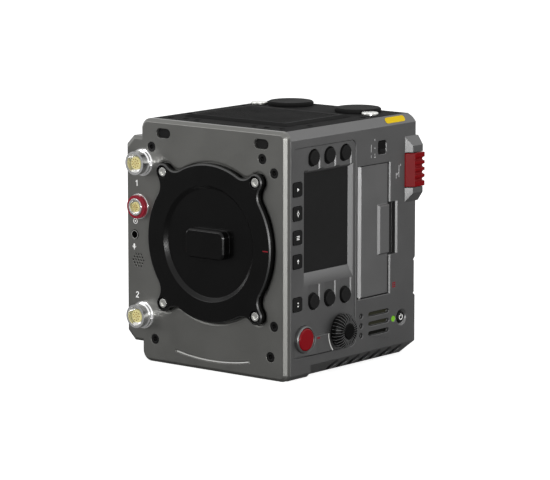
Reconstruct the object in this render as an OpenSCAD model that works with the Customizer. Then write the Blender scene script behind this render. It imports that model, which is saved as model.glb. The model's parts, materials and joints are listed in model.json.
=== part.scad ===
// Digital cinema camera body: a box-shaped camera with a capped lens port in front, a control
// panel, media door and battery release on one side, and connectors on the other.
// X = 0 is the lens axis, the lens port faces -Y, the control panel faces +X.
// The origin is the mouth of the tripod thread, in the middle of the base.

/* [Body] */
// Width between the two side faces
body_w = 95; // [80:0.5:110]
// Height of the body
body_h = 125; // [105:0.5:145]
// Depth from the front face to the rear edge
body_d = 106; // [90:0.5:122]
// Thickness of the side shells
wall_t = 4.5; // [4.3:0.1:5]
// Thickness of the front plate
front_t = 4; // [3.8:0.1:4.4]
// Chamfer round the front plate
edge_c = 1.65; // [1:0.05:2]
// Corner radius of the front plate on the connector side
corner_left = 5.5; // [4.6:0.1:6.5]
// Corner radius of the front plate on the panel side
corner_right = 3.8; // [3:0.1:4.4]
// Thickness of the top cover
cover_t = 3.5; // [3:0.1:4]
// Thickness of the bottom plate
base_t = 3.5; // [3:0.1:4]
// Thickness of the rear panel
rear_t = 4; // [3:0.1:5]
// Radius of the upper rear corner
rear_r = 5; // [3:0.5:6]
// Chamfer of the lower rear corner
rear_c = 6; // [4:0.5:8]

/* [Connector wing] */
// Width of the wing beside the body
wing_w = 10.1; // [9.8:0.1:13]
// Height of the lower end of the wing, a share of the body's height
wing_low_share = 0.0776; // [0.056:0.001:0.096]
// Drop of the upper end of the wing below the top, a share of the body's height
wing_drop_share = 0.0752; // [0.056:0.001:0.088]
// Chamfer at the corners of the wing
wing_corner = 4.7; // [3:0.1:6]
// Depth of the housing behind the wing, a share of the body's depth
pod_d_share = 0.81132; // [0.5661:0.001:0.8962]
// Wall of the housing behind the wing
pod_wall = 2.5; // [2:0.1:3]
// Number of air slots in the housing
pod_slots = 9; // [5:1:11]

/* [Lens port] */
// Height of the lens axis, a share of the body's height
lens_z_share = 0.524; // [0.512:0.001:0.536]
// Radius of the lens throat, a share of the cap's radius
throat_r_share = 0.67081; // [0.5963:0.001:0.7453]
// Outer radius of the mount ring, a share of the cap's radius
ring_r_share = 0.89441; // [0.8199:0.001:0.9192]
// Thickness of the mount ring
ring_t = 1.6; // [1.2:0.1:1.8]
// Depth of the recess round the port cap
recess_depth = 1.2; // [0.8:0.1:1.4]
// Gap between the port cap and its recess
recess_gap = 0.6; // [0.4:0.1:1]

/* [Port cap] */
// Radius of the port cap, a share of the body's width
cap_r_share = 0.42368; // [0.4106:0.001:0.4315]
// Height of the cap above the front face
cap_proud = 3.2; // [2:0.1:5]
// Radius of the four corner lobes
lobe_r = 4.3; // [4:0.1:4.8]
// Horizontal pitch of the lobes, a share of the cap's radius
lobe_pitch_x_share = 1.50311; // [1.4907:0.001:1.5155]
// Vertical pitch of the lobes, a share of the cap's radius
lobe_pitch_z_share = 1.66957; // [1.6398:0.001:1.6894]
// Radius of the blend between a lobe and the cap
lobe_blend = 7; // [5:0.5:9]
// Radius of the round dish in the cap, a share of the cap's radius
dish_r_share = 0.73292; // [0.646:0.001:0.7701]
// Depth of the dish
dish_depth = 1.8; // [1:0.1:2.4]
// Width of the finger block in the dish
grip_w = 25.1; // [20:0.1:30]
// Height of the finger block along Z
grip_h = 14.6; // [11:0.1:20]
// Rise of the finger block above the dish floor
grip_rise = 4.75; // [3:0.05:6]

/* [Receptacles] */
// Inset of the two video receptacles from the left side of the body
port_in = 2; // [1.5:0.1:2.5]
// Height of the upper video receptacle, a share of the body's height
port_up_z_share = 0.82; // [0.816:0.001:0.824]
// Height of the lower video receptacle, a share of the body's height
port_low_z_share = 0.1912; // [0.176:0.001:0.2]
// Radius of the front ring of a video receptacle
port_r = 6; // [5.5:0.1:6.3]
// Height of a video receptacle above the front face
port_proud = 6.9; // [5:0.1:9]
// Distance of the lens control receptacle beside the body
lens_port_out = 1.1; // [0.5:0.1:2]
// Height of the lens control receptacle, a share of the body's height
lens_port_z_share = 0.6352; // [0.624:0.001:0.648]
// Radius of the tube of the lens control receptacle
lens_port_r = 4.35; // [3.8:0.05:4.6]
// Height of the lens control receptacle above the front face
lens_port_proud = 3.2; // [2.8:0.1:5]
// Distance of the audio jack beside the body
jack_out = 3.9; // [3:0.1:4.5]
// Height of the audio jack, a share of the body's height
jack_z_share = 0.5176; // [0.504:0.001:0.528]
// Radius of the rim of the audio jack
jack_r = 2.35; // [2.2:0.05:2.6]
// Distance of the microphone beside the body
mic_out = 1.7; // [1:0.1:2.5]
// Height of the microphone, a share of the body's height
mic_z_share = 0.4136; // [0.4:0.001:0.424]
// Radius of the microphone capsule
mic_r = 4.5; // [4.2:0.1:4.8]

/* [Control panel] */
// Depth of the control panel along Y, a share of the body's depth
panel_d_share = 0.47642; // [0.467:0.001:0.4905]
// Thickness of the control panel
panel_t = 2.8; // [2.7:0.1:3]
// Step of the panel below the side face
panel_step = 0.3; // [0.2:0.1:0.5]
// Height of the lower edge of the panel, a share of the body's height
panel_low_share = 0.088; // [0.08:0.001:0.096]
// Width of the panel behind the display
display_margin = 4; // [3.6:0.1:6]
// Height of the display, a share of the body's height
display_h_share = 0.3992; // [0.36:0.001:0.404]
// Depth of the display glass below the panel face
display_sink = 1.8; // [1.2:0.1:2]
// Thickness of the display glass
glass_t = 1.2; // [0.8:0.1:1.4]

/* [Keys] */
// Radius of the cap of a round key
key_r = 3.7; // [3.3:0.1:3.8]
// Radius of the ring round a round key
key_ring_r = 4.4; // [4.3:0.1:4.6]
// Height of a round key above the panel
key_proud = 1; // [0.6:0.1:1.5]
// Side of a square key
square_key = 7; // [6.4:0.1:7.2]
// Height of a square key above the panel
square_proud = 0.5; // [0.3:0.1:1]
// Pitch of the round keys along Y, a share of the body's depth
key_pitch_share = 0.11934; // [0.1133:0.001:0.1226]
// Pitch of the upper square keys, a share of the body's height
square_pitch_share = 0.09624; // [0.08:0.001:0.1]
// Travel of a key
key_travel = 0.8; // [0.4:0.1:0.8]

/* [Dial and buttons] */
// Radius of the jog dial
dial_r = 8.75; // [8:0.05:9]
// Height of the jog dial above the side face
dial_proud = 5.1; // [4.5:0.1:7]
// Radius of the push button in the dial
hub_r = 3.8; // [3.5:0.1:4.2]
// Grooves round the jog dial
dial_grooves = 30; // [18:1:36]
// Radius of the record button
record_r = 5.6; // [5.2:0.1:5.8]
// Rise of the ridge between the record button and the dial
ridge_rise = 2.3; // [1:0.1:3]
// Radius of the power button
power_r = 2.9; // [2.6:0.1:3]
// Radius of the status light
led_r = 1.5; // [1:0.1:1.8]

/* [Media door] */
// Depth of the media door along Y, a share of the body's depth
door_d_share = 0.21792; // [0.1982:0.001:0.2207]
// Height of the media door, a share of the body's height
door_h_share = 0.5368; // [0.496:0.001:0.544]
// Sink of the door face below the side face
door_sink = 1.1; // [0.8:0.1:1.3]
// Radius of the hinge pin
pin_r = 0.6; // [0.5:0.05:0.7]
// Depth of the finger grip on the door along Y, a share of the body's depth
tab_d_share = 0.08208; // [0.0661:0.001:0.0943]
// Height of the finger grip on the door, a share of the body's height
tab_h_share = 0.2072; // [0.16:0.001:0.24]
// Depth of the finger recess behind the door along Y
scoop_d = 6.2; // [5:0.1:6.4]

/* [Release lever] */
// Height of the lever along Z, a share of the body's height
lever_h_share = 0.14; // [0.12:0.001:0.152]
// Rise of the lever above the side face
lever_proud = 3.9; // [3.6:0.1:5]
// Rise of the guard round the lever
guard_proud = 3.1; // [2:0.1:3.6]
// Height of the guard along Z, a share of the body's height
guard_h_share = 0.2712; // [0.256:0.001:0.288]
// Travel of the lever
lever_travel = 2.5; // [1.5:0.1:2.8]

/* [Top] */
// Half width of the raised top grille, a share of the body's width
grille_half_share = 0.35263; // [0.3158:0.001:0.3578]
// Depth of the grille along Y, a share of the body's depth
grille_d_share = 0.49057; // [0.4151:0.001:0.5094]
// Rise of the grille above the top
grille_rise = 1.3; // [1:0.1:2]
// Ribs across the grille
grille_ribs = 20; // [12:1:24]
// Radius of the two round top caps, a share of the body's width
top_cap_r_share = 0.12632; // [0.1053:0.001:0.1284]
// Rise of the round top caps
top_cap_rise = 2.1; // [1.5:0.1:3]
// Radius of the strap studs
stud_r = 4.3; // [3.5:0.1:4.4]
// Rise of the strap studs
stud_rise = 1.4; // [1:0.1:2.5]
// Radius of the tapped holes in the top
tap_r = 1.65; // [1.25:0.05:2]

/* [Base and rear] */
// Radius of the tripod thread
tripod_r = 4; // [3:0.1:4.2]
// Depth of the tripod thread
tripod_d = 11; // [9:0.5:12]
// Half width of the battery plate, a share of the body's width
plate_half_share = 0.37895; // [0.3579:0.001:0.3842]
// Thickness of the battery plate
plate_t = 8; // [6:0.5:9]

/* [Hidden] */
$fn = 64;
hull_fn = 32;

// Colours
plate_grey = "#5c5c58";
shell_grey = "#565656";
cover_black = "#333332";
cap_black = "#1b1b1a";
key_black = "#1d1d1d";
glass_black = "#0c0f0e";
steel = "#c9c9c6";
contact_gold = "#d8c98a";
signal_red = "#a01822";
ring_red = "#c23a48";
lamp_green = "#8cc63f";
board_green = "#1f5a36";
fin_grey = "#8d8f90";

// Clearances
seam = 0.1;
gap = 0.3;
run_fit = 0.05;
over = 1;
skin = 0.01;

// Sizes that follow the body
wing_low = wing_low_share * body_h;
wing_drop = wing_drop_share * body_h;
lens_z = lens_z_share * body_h;
port_up_z = port_up_z_share * body_h;
port_low_z = port_low_z_share * body_h;
lens_port_z = lens_port_z_share * body_h;
jack_z = jack_z_share * body_h;
mic_z = mic_z_share * body_h;
panel_low = panel_low_share * body_h;
display_h = display_h_share * body_h;
square_pitch = square_pitch_share * body_h;
door_h = door_h_share * body_h;
tab_h = tab_h_share * body_h;
lever_h = lever_h_share * body_h;
guard_h = guard_h_share * body_h;
cap_r = cap_r_share * body_w;
grille_half = grille_half_share * body_w;
top_cap_r = top_cap_r_share * body_w;
plate_half = plate_half_share * body_w;
panel_d = panel_d_share * body_d;
key_pitch = key_pitch_share * body_d;
door_d = door_d_share * body_d;
tab_d = tab_d_share * body_d;
grille_d = grille_d_share * body_d;
pod_d = pod_d_share * body_d;
throat_r = throat_r_share * cap_r;
ring_r = ring_r_share * cap_r;
lobe_pitch_x = lobe_pitch_x_share * cap_r;
lobe_pitch_z = lobe_pitch_z_share * cap_r;
dish_r = dish_r_share * cap_r;

// Planes of the body
front_y = -body_d / 2;
rear_y = body_d / 2;
side_x = body_w / 2;
left_x = -body_w / 2;
wing_x = left_x - wing_w;
shell_y = front_y + front_t + seam;
rear_face_y = rear_y - rear_t;
inner_x = side_x - wall_t;
seam_left = left_x + corner_left;
wing_top = body_h - wing_drop;
wing_lap = corner_left + over;

// Bevels of the panel side
bevel_in = 2.9;
bevel_h = 4.6;
foot_c = 2.4;
under_in = 5.4;
under_h = 6.2;
under_start = 20;
under_y = front_y + under_start;
notch_d = 1.5;
notch_h = 2.2;
rear_strip_in = 0.8;
notch_low_z_share = 0.2504;
notch_low_z = notch_low_z_share * body_h;
notch_pitch_share = 0.14;
notch_pitch = notch_pitch_share * body_h;

// Screws of the front plate
screw_head_r = 2.5;
screw_head_t = 2.2;
screw_sink = 0.2;
screw_r = 1.5;
screw_tab = 3.6;
screw_tab_t = 2.6;
hex_r = 1.4;
hex_depth = 1.2;
screw_shares = [[-0.84, 0.886], [0.846, 0.834], [-0.804, 0.096], [0.796, 0.096], [0.844, 0.221]];
cover_screw_share = [0.686, 0.886];
function screw_place(share) = [share[0] * side_x, share[1] * body_h];
screw_places = [for (s = concat(screw_shares, [cover_screw_share])) screw_place(s)];
left_screws = [for (s = screw_shares) if (s[0] < 0) screw_place(s)];
right_screws = [for (s = screw_shares) if (s[0] > 0) screw_place(s)];
shank_y = shell_y + screw_tab_t - seam;

// Windows and groove of the front plate
slot_w = 9.2;
slot_h = 4.9;
slot_x_share = 0.33684;
slot_x = slot_x_share * body_w;
slot_drop = 6.8;
slot_sink = 1.5;
groove_half = 24.6;
groove_sag = 2.5;
groove_w = 1.2;
groove_depth = 0.8;
groove_low = 5.4;
groove_r = (groove_half * groove_half + groove_sag * groove_sag) / (2 * groove_sag);

// Port cap
cap_back_y = front_y + recess_depth - seam;
cap_face_y = front_y - cap_proud;
dish_wall = 1.9;
grip_r = 3.5;
grip_c = 0.8;
cap_screw_r = 1.3;
cap_head_r = 2.25;
cap_head_t = 1.3;
cap_pocket_r = 3.1;
cap_pocket_t = 1.5;
cap_screw_y = front_y + front_t - seam;
blend_step = 0.05;
lobe_places = [for (i = [-1, 1], k = [-1, 1]) [i * lobe_pitch_x / 2, k * lobe_pitch_z / 2]];

// Receptacles
port_x = side_x - port_in;
lens_port_x = side_x + lens_port_out;
jack_x = side_x + jack_out;
mic_x = side_x + mic_out;
port_neck = 0.8;
port_flange_w = 1;
port_flange_t = 1;
port_collar_w = 0.5;
port_collar_t = 2.6;
port_rim = 1.3;
port_moat = 1.4;
port_bore_depth = 5;
port_tail = 12;
port_insert_sink = 1.2;
port_pin_r = 0.35;
port_pin_rise = 0.4;
port_pins = 6;
pin_ring_share = 0.67;
port_body_r = port_r - port_neck;
port_flange_r = port_r + port_flange_w;
port_collar_r = port_r + port_collar_w;
port_bore_r = port_r - port_rim;
port_insert_r = port_bore_r - port_moat;
collar_notches = 4;
notch_w = 2.4;
lens_flange_w = 2.15;
lens_flange_t = 0.5;
lens_ring_w = 1.65;
lens_ring_t = 1.9;
lens_neck = 0.35;
lens_rim = 1;
lens_moat = 0.75;
lens_bore_depth = 2.8;
lens_tail = 10;
lens_insert_sink = 0.7;
lens_flange_r = lens_port_r + lens_flange_w;
lens_ring_r = lens_port_r + lens_ring_w;
lens_tail_r = lens_port_r - lens_neck;
lens_bore_r = lens_port_r - lens_rim;
lens_insert_r = lens_bore_r - lens_moat;
jack_rise = 0.2;
jack_rim = 0.6;
jack_bore_r = jack_r - jack_rim;
jack_bore_depth = 9;
jack_tail = 11;
mic_hole_r = 0.45;
mic_pitch = 1.75;
mic_rings = 2;
mic_t = 3;

// Control panel
panel_margin = 5.5;
panel_r = 3;
panel_ledge = 1.2;
panel_y = front_y + panel_margin;
panel_end_y = panel_y + panel_d;
panel_face = side_x - panel_step;
panel_back = panel_face - panel_t;
dial_rise_share = 0.0744;
dial_rise = dial_rise_share * body_h;
dial_in_share = 0.36698;
dial_in = dial_in_share * body_d;
record_in_share = 0.08491;
record_in = record_in_share * body_d;
record_drop = 0.2;
low_key_rise_share = 0.1424;
low_key_rise = low_key_rise_share * body_h;
display_in = 9.9;
display_rise_share = 0.1184;
display_rise = display_rise_share * body_h;
high_key_rise = 7.5;
panel_head = 5.7;
dial_z = panel_low + dial_rise;
dial_y = panel_y + dial_in;
record_y = panel_y + record_in;
record_z = dial_z - record_drop;
low_key_z = dial_z + low_key_rise;
display_y = panel_y + display_in;
display_d = panel_d - display_in - display_margin;
display_end_y = display_y + display_d;
display_z = low_key_z + display_rise;
display_top = display_z + display_h;
high_key_z = display_top + high_key_rise;
panel_top = high_key_z + panel_head;
funnel_side = 2.2;
funnel_front = 0.6;
funnel_low = 6.4;
funnel_high = 1.8;
glass_face = panel_face - display_sink;
glass_back = glass_face - glass_t;
module_margin = 1;
module_t = 2.4;
module_face = min(glass_back, panel_back) - seam;
module_back = module_face - module_t;

// Keys
key_in_share = 0.16226;
key_in = key_in_share * body_d;
square_in = 4.15;
square_drop_share = 0.056;
square_drop = square_drop_share * body_h;
square_low_rise = 0.1;
key_y0 = panel_y + key_in;
square_y = panel_y + square_in;
square_top_z = display_top - square_drop;
square_low_z = low_key_z + square_low_rise;
square_r = 1;
key_gap = 0.2;
key_skirt_sink = 0.3;
key_mouth_t = 1.2;
key_flange = 0.5;
key_flange_t = 0.6;
key_stem_r = 1.5;
key_stem = 0.5;
channel_depth = 0.7;
mouth_back = panel_face - key_mouth_t;
flange_top = mouth_back - key_gap;
stem_end = panel_back - key_stem;
switch_r = 2;
board_t = 1.2;
board_x = module_back - key_gap - board_t;
switch_end = stem_end - key_travel - seam;

round_places = [for (row = [high_key_z, low_key_z], i = [0:2]) [key_y0 + i * key_pitch, row]];
square_places = concat([for (i = [0:3]) [square_y, square_top_z - i * square_pitch]],
    [[square_y, square_low_z]]);

// Dial
dial_back = side_x + gap;
dial_face = side_x + dial_proud;
dial_bevel = 2;
dial_groove_r = 0.45;
bush_r = 3.4;
hub_depth = 2.6;
bush_end = dial_face - hub_depth;
bush_bore = 1.55;
hub_pocket = bush_end + gap;
hub_travel = 0.6;
hub_back = hub_pocket + hub_travel + seam;
hub_proud = 0.3;
hub_face = dial_face + hub_proud;
hub_stem_r = bush_bore - run_fit;
encoder_half = 6.5;
encoder_t = 5;
scallop_gap = 1.1;

// Record button and ridge
bezel_wall = 0.9;
bezel_r = record_r + gap + bezel_wall;
bezel_proud = 2;
bezel_seat = 1.7;
bezel_c = 0.5;
record_proud = 0.3;
bezel_face = panel_face + bezel_proud;
bezel_back = panel_face - bezel_seat;
record_face = bezel_face + record_proud;
record_flange = 0.7;
record_flange_t = 0.6;
ridge_start = 2.5;
ridge_ramp = 14;
ridge_low = 0.8;
ridge_high = 0.5;

// Power button and status light
power_in_share = 0.89151;
power_in = power_in_share * body_d;
power_drop = 0.3;
led_in_share = 0.82736;
led_in = led_in_share * body_d;
power_y = front_y + power_in;
power_z = dial_z - power_drop;
led_y = front_y + led_in;
power_dish_r = 4.3;
power_dish = 0.9;
power_flange = 0.7;
power_pocket = 2.2;
power_flange_t = 1;
power_face_sink = 0.3;
power_flange_top = inner_x + power_pocket - gap;

// Air openings of the panel side
dot_r = 1.4;
air_in_share = 0.57453;
air_in = air_in_share * body_d;
air_slot_in_share = 0.63113;
air_slot_in = air_slot_in_share * body_d;
air_slot_d_share = 0.16038;
air_slot_d = air_slot_d_share * body_d;
air_slot_h = 2.3;
air_pitch = 5;
air_low_z_share = 0.12;
air_low_z = air_low_z_share * body_h;
air_depth = 1.6;
air_y = front_y + air_in;
air_slot_y = front_y + air_slot_in;
vent_r = 1.7;
vent_len = 4;
vent_lean = 40;
vent_in_share = 0.38679;
vent_in = vent_in_share * body_d;
vent_y0 = front_y + vent_in;
vent_pitch_share = 0.08208;
vent_pitch = vent_pitch_share * body_d;
vents = 7;
vent_z = 2.6;

// Media door
door_gap = 0.5;
door_rise_share = 0.1856;
door_rise = door_rise_share * body_h;
door_in_share = 0.57264;
door_in = door_in_share * body_d;
door_low = panel_low + door_rise;
door_y = front_y + door_in;
door_end_y = door_y + door_d;
door_top = door_low + door_h;
door_face = side_x - door_sink;
door_edge = 1.45;
door_chamfer = 1.4;
door_back_t = 1.1;
door_nose = 1;
pivot_y = door_y + door_edge;
pivot_x = door_face - door_chamfer;
door_back = pivot_x - door_back_t;
pin_seat = 2;
tab_rise_share = 0.1624;
tab_rise = tab_rise_share * body_h;
tab_low = door_low + tab_rise;
scoop_depth = 3.2;
scoop_over = 0.6;
pocket_edge = 0.8;
scoop_edge = 1;
bay_wall = 1.5;
bay_flange = 2.6;
bay_depth = 38;
bay_face = inner_x - seam;
card_sink = 1.4;
card_gap = 0.3;

// Media lock
lock_in_share = 0.73302;
lock_in = lock_in_share * body_d;
lock_rise = 8.5;
lock_sink = 0.3;
lock_y = front_y + lock_in;
lock_z = door_top + lock_rise;
lock_window_d = 6.8;
lock_window_h = 7;
lock_knob_h = 4;
lock_travel = 2.4;
lock_r = 1;
lock_edge = 0.5;
lock_plate_t = 1;
lock_plate_over = 1.2;
lock_knob_z = lock_z + lock_travel / 2;
lock_face = side_x - lock_sink;

// Release lever
lever_in = 9;
lever_drop_share = 0.2324;
lever_drop = lever_drop_share * body_h;
lever_overhang = 2.7;
lever_sink = 1.5;
guard_overhang = 2.1;
guard_slope = 6.1;
guard_rise = 0.3;
lever_y = rear_y - lever_in;
lever_z = body_h - lever_drop;
lever_end_y = rear_y + lever_overhang;
lever_root = side_x - lever_sink;
guard_y = lever_y - gap;
guard_end_y = rear_y + guard_overhang;
guard_z = lever_z + guard_rise;
lever_stem_d = 4.2;
lever_flange_t = 0.9;
lever_flange = 2;
lever_grooves = 4;
lever_groove_r = 0.9;

// Battery latch
latch_w = 6.4;
latch_h = 9;
latch_hook = 2;
latch_sink = 1.5;
latch_wall = 2.5;
latch_z = lever_z;
latch_end = plate_half - latch_wall;

// Top
grille_in_share = 0.16981;
grille_in = grille_in_share * body_d;
grille_y = front_y + grille_in;
grille_bevel = 2.75;
grille_seat = 1;
rib_share = 0.5;
rib_depth = 0.8;
rib_margin = 1.5;
top_cap_x_share = 0.23368;
top_cap_x = top_cap_x_share * body_w;
top_cap_in_share = 0.84906;
top_cap_in = top_cap_in_share * body_d;
top_cap_y = front_y + top_cap_in;
top_cap_c = 0.7;
spigot_depth = 1.5;
spigot_share = 0.6;
stud_x_share = 0.38421;
stud_x = stud_x_share * body_w;
stud_lead = 8.4;
stud_y = top_cap_y - stud_lead;
stud_c = 0.4;
tap_in = 11;
tap_inner_share = 0.38947;
tap_inner = tap_inner_share * body_w;
tap_middle_share = 0.55789;
tap_middle = tap_middle_share * body_w;
tap_outer_share = 0.76421;
tap_outer = tap_outer_share * body_w;
strip_span_x_share = 0.83158;
strip_span_x = strip_span_x_share * body_w;
strip_span_y_share = 0.40566;
strip_span_y = strip_span_y_share * body_d;
strip_in_share = 0.47642;
strip_in = strip_in_share * body_d;
tap_y = front_y + tap_in;
tap_spans = [tap_inner, tap_middle, tap_outer];
strip_y = front_y + strip_in;

// Base
boss_wall = 5;
pin_hole_r = 2.6;
pin_hole_y_share = 0.16981;
pin_hole_y = pin_hole_y_share * body_d;
foot_hole_r = 1.65;
foot_span_x_share = 0.73684;
foot_span_x = foot_span_x_share * body_w;
foot_span_y_share = 0.66038;
foot_span_y = foot_span_y_share * body_d;

// Rear
plate_low_share = 0.272;
plate_low = plate_low_share * body_h;
plate_top_drop = 7;
vee_top_half = 16;
vee_low_half = 11;
vee_depth = 4;
vee_h_share = 0.384;
vee_h = vee_h_share * body_h;
contact_half = 8;
contact_h = 12;
contact_rise = 4;
sdi_far_x_share = 0.32632;
sdi_far_x = sdi_far_x_share * body_w;
sdi_near_x_share = 0.13684;
sdi_near_x = sdi_near_x_share * body_w;
sdi_places = [-sdi_far_x, -sdi_near_x];
sdi_z_share = 0.144;
sdi_z = sdi_z_share * body_h;
sdi_r = 4.8;
sdi_bore = 3.6;
sdi_proud = 8;
sdi_nut_r = 6.5;
sdi_nut_t = 1.8;
sdi_tail = 8;
inlet_x_share = 0.10526;
inlet_x = inlet_x_share * body_w;
inlet_r = 7;
inlet_proud = 3;
inlet_bore_r = 5.4;
inlet_pin_r = 0.6;
inlet_pins = 4;
inlet_pin_ring = 2.6;

// Housing behind the wing
pod_slot_d_share = 0.31132;
pod_slot_d = pod_slot_d_share * body_d;
pod_slot_in = 10;

// Inside
sensor_w = 58;
sensor_h = 50;
sensor_t = 5.9;
sensor_window_w = 38;
sensor_window_h = 26;
sensor_window_t = 3.9;
pcb_t = 1.6;
sensor_board_w = 64;
sensor_board_h = 60;
sink_half = 30;
sink_base = 3;
sink_fin = 17;
sink_fin_t = 1.2;
sink_fins = 12;
fan_t = 12;
fan_r = 26.5;
fan_tip_gap = 1;
fan_hub_r = 9;
fan_pin_r = 1.5;
fan_blades = 7;
fan_blade_t = 1.4;
fan_blade_w = 7;
fan_blade_lean = 35;
fan_web = 1.2;
fan_arm = 3;
board_post = 3;
board_post_r = 2;
board_post_share = 0.87;
board_low = 13;
board_left = 6;
board_right = 10;
board_drop = 7;
sensor_y = shell_y;
sensor_board_y = sensor_y + sensor_t + seam;
sink_y = sensor_board_y + pcb_t + seam;
fan_y = sink_y + sink_base + sink_fin + seam;
board_y = fan_y + fan_t + seam + board_post;

// Profile drawn in x and z, from one y to another
module between_y(y0, y1) {
    translate([0, y1, 0]) rotate([90, 0, 0]) linear_extrude(y1 - y0) children();
}

// Profile drawn in y and z, from one x to another
module between_x(x0, x1) {
    translate([x0, 0, 0]) rotate([90, 0, 90]) linear_extrude(x1 - x0) children();
}

// Profile drawn in x and y, from one z to another
module between_z(z0, z1) {
    translate([0, 0, z0]) linear_extrude(z1 - z0) children();
}

// Box between two opposite corners
module block(a, b) {
    translate(a) cube(b - a);
}

// Cylinders and cones along each axis
module rod_x(y, z, r, x0, x1) {
    translate([x0, y, z]) rotate([0, 90, 0]) cylinder(h = x1 - x0, r = r);
}
module cone_x(y, z, r0, r1, x0, x1) {
    translate([x0, y, z]) rotate([0, 90, 0]) cylinder(h = x1 - x0, r1 = r0, r2 = r1);
}
module rod_y(x, z, r, y0, y1) {
    translate([x, y1, z]) rotate([90, 0, 0]) cylinder(h = y1 - y0, r = r);
}
module cone_y(x, z, r0, r1, y0, y1) {
    translate([x, y1, z]) rotate([90, 0, 0]) cylinder(h = y1 - y0, r1 = r1, r2 = r0);
}
module rod_z(x, y, r, z0, z1) {
    translate([x, y, z0]) cylinder(h = z1 - z0, r = r);
}

// Rectangle with round corners, around its centre
module round_rect(w, h, r) {
    square([w - 2 * r, h], center = true);
    square([w, h - 2 * r], center = true);
    for (i = [-1, 1], k = [-1, 1]) translate([i * (w / 2 - r), k * (h / 2 - r)]) circle(r);
}

// Slot with round ends, around its centre
module obround(w, h) {
    square([w - h, h], center = true);
    for (i = [-1, 1]) translate([i * (w - h) / 2, 0]) circle(h / 2);
}

// Front outline of the main body in x and z, drawn in by an inset
module main_outline(inset) {
    rl = max(corner_left - inset, skin);
    rr = max(corner_right - inset, skin);
    low = inset;
    high = body_h - inset;
    translate([left_x + inset + rl, low]) square([body_w - 2 * inset - rl - rr, high - low]);
    translate([left_x + inset, low + rl]) square([rl, high - low - 2 * rl]);
    translate([side_x - inset - rr, low + rr]) square([rr, high - low - 2 * rr]);
    for (z = [low + rl, high - rl]) translate([left_x + inset + rl, z]) circle(rl);
    for (z = [low + rr, high - rr]) translate([side_x - inset - rr, z]) circle(rr);
}

// Front outline of the connector wing in x and z, drawn in by an inset
module wing_outline(inset) {
    x0 = wing_x + inset;
    x1 = left_x + wing_lap;
    z0 = wing_low + inset;
    z1 = wing_top - inset;
    polygon([[x0 + wing_corner, z0], [x1, z0], [x1, z1], [x0 + wing_corner, z1],
        [x0, z1 - wing_corner], [x0, z0 + wing_corner]]);
}

// Side outline of the shells in y and z, with the rear corners cut
module side_outline(y0) {
    polygon([[y0, 0], [rear_y - rear_c, 0], [rear_y, rear_c], [rear_y, body_h - rear_r],
        [rear_y - rear_r, body_h], [y0, body_h]]);
    translate([rear_y - rear_r, body_h - rear_r]) circle(rear_r);
}

// Whatever lies inside the side outline
module within_sides(y0) {
    intersection() {
        children();
        between_x(wing_x - over, side_x + over) side_outline(y0);
    }
}

// Corner post of the front plate, chamfered towards the front
module plate_post(x, z, r) {
    translate([x, front_y, z]) rotate([-90, 0, 0]) {
        cylinder(h = edge_c, r1 = r - edge_c, r2 = r, $fn = hull_fn);
        translate([0, 0, edge_c]) cylinder(h = front_t - edge_c, r = r, $fn = hull_fn);
    }
}

module chamfered_plate() {
    hull() {
        for (z = [corner_left, body_h - corner_left]) plate_post(left_x + corner_left, z, corner_left);
        for (z = [corner_right, body_h - corner_right]) plate_post(side_x - corner_right, z, corner_right);
    }
    hull() {
        between_y(front_y, front_y + skin) wing_outline(edge_c);
        between_y(front_y + edge_c, front_y + front_t) wing_outline(0);
    }
}

// Outline of the port cap in x and z around its centre, grown by an amount
module lobed_outline(grow) {
    far = norm([lobe_pitch_x, lobe_pitch_z]) / 2;
    base_angle = atan2(lobe_pitch_z, lobe_pitch_x);
    reach = cap_r + lobe_blend;
    near = lobe_r + lobe_blend;
    spread = acos((reach * reach + far * far - near * near) / (2 * reach * far));
    angles = [base_angle, 180 - base_angle, 180 + base_angle, -base_angle];
    difference() {
        union() {
            circle(cap_r + grow);
            for (a = angles) {
                translate(far * [cos(a), sin(a)]) circle(lobe_r + grow);
                polygon([[0, 0], reach * [cos(a - spread), sin(a - spread)],
                    far * [cos(a), sin(a)], reach * [cos(a + spread), sin(a + spread)]]);
            }
        }
        for (a = angles, s = [-spread, spread])
            translate(reach * [cos(a + s), sin(a + s)]) circle(lobe_blend - grow - blend_step);
    }
}

module at_lens() {
    translate([0, 0, lens_z]) children();
}

// Groove of the front plate, an arc of a large ring
module arc_groove() {
    centre_z = groove_low + groove_r;
    intersection() {
        difference() {
            rod_y(0, centre_z, groove_r + groove_w / 2, front_y - over, front_y + groove_depth);
            rod_y(0, centre_z, groove_r - groove_w / 2, front_y - 2 * over, front_y + groove_depth + over);
        }
        block([-groove_half, front_y - over, 0],
            [groove_half, front_y + groove_depth, groove_low + 2 * groove_sag]);
    }
}

function mic_spots() = [for (i = [-mic_rings:mic_rings], k = [-mic_rings:mic_rings])
    let (x = (i + k / 2) * mic_pitch, z = k * mic_pitch * sin(60))
    if (norm([x, z]) < (mic_rings + skin) * mic_pitch) [x, z]];

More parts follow.
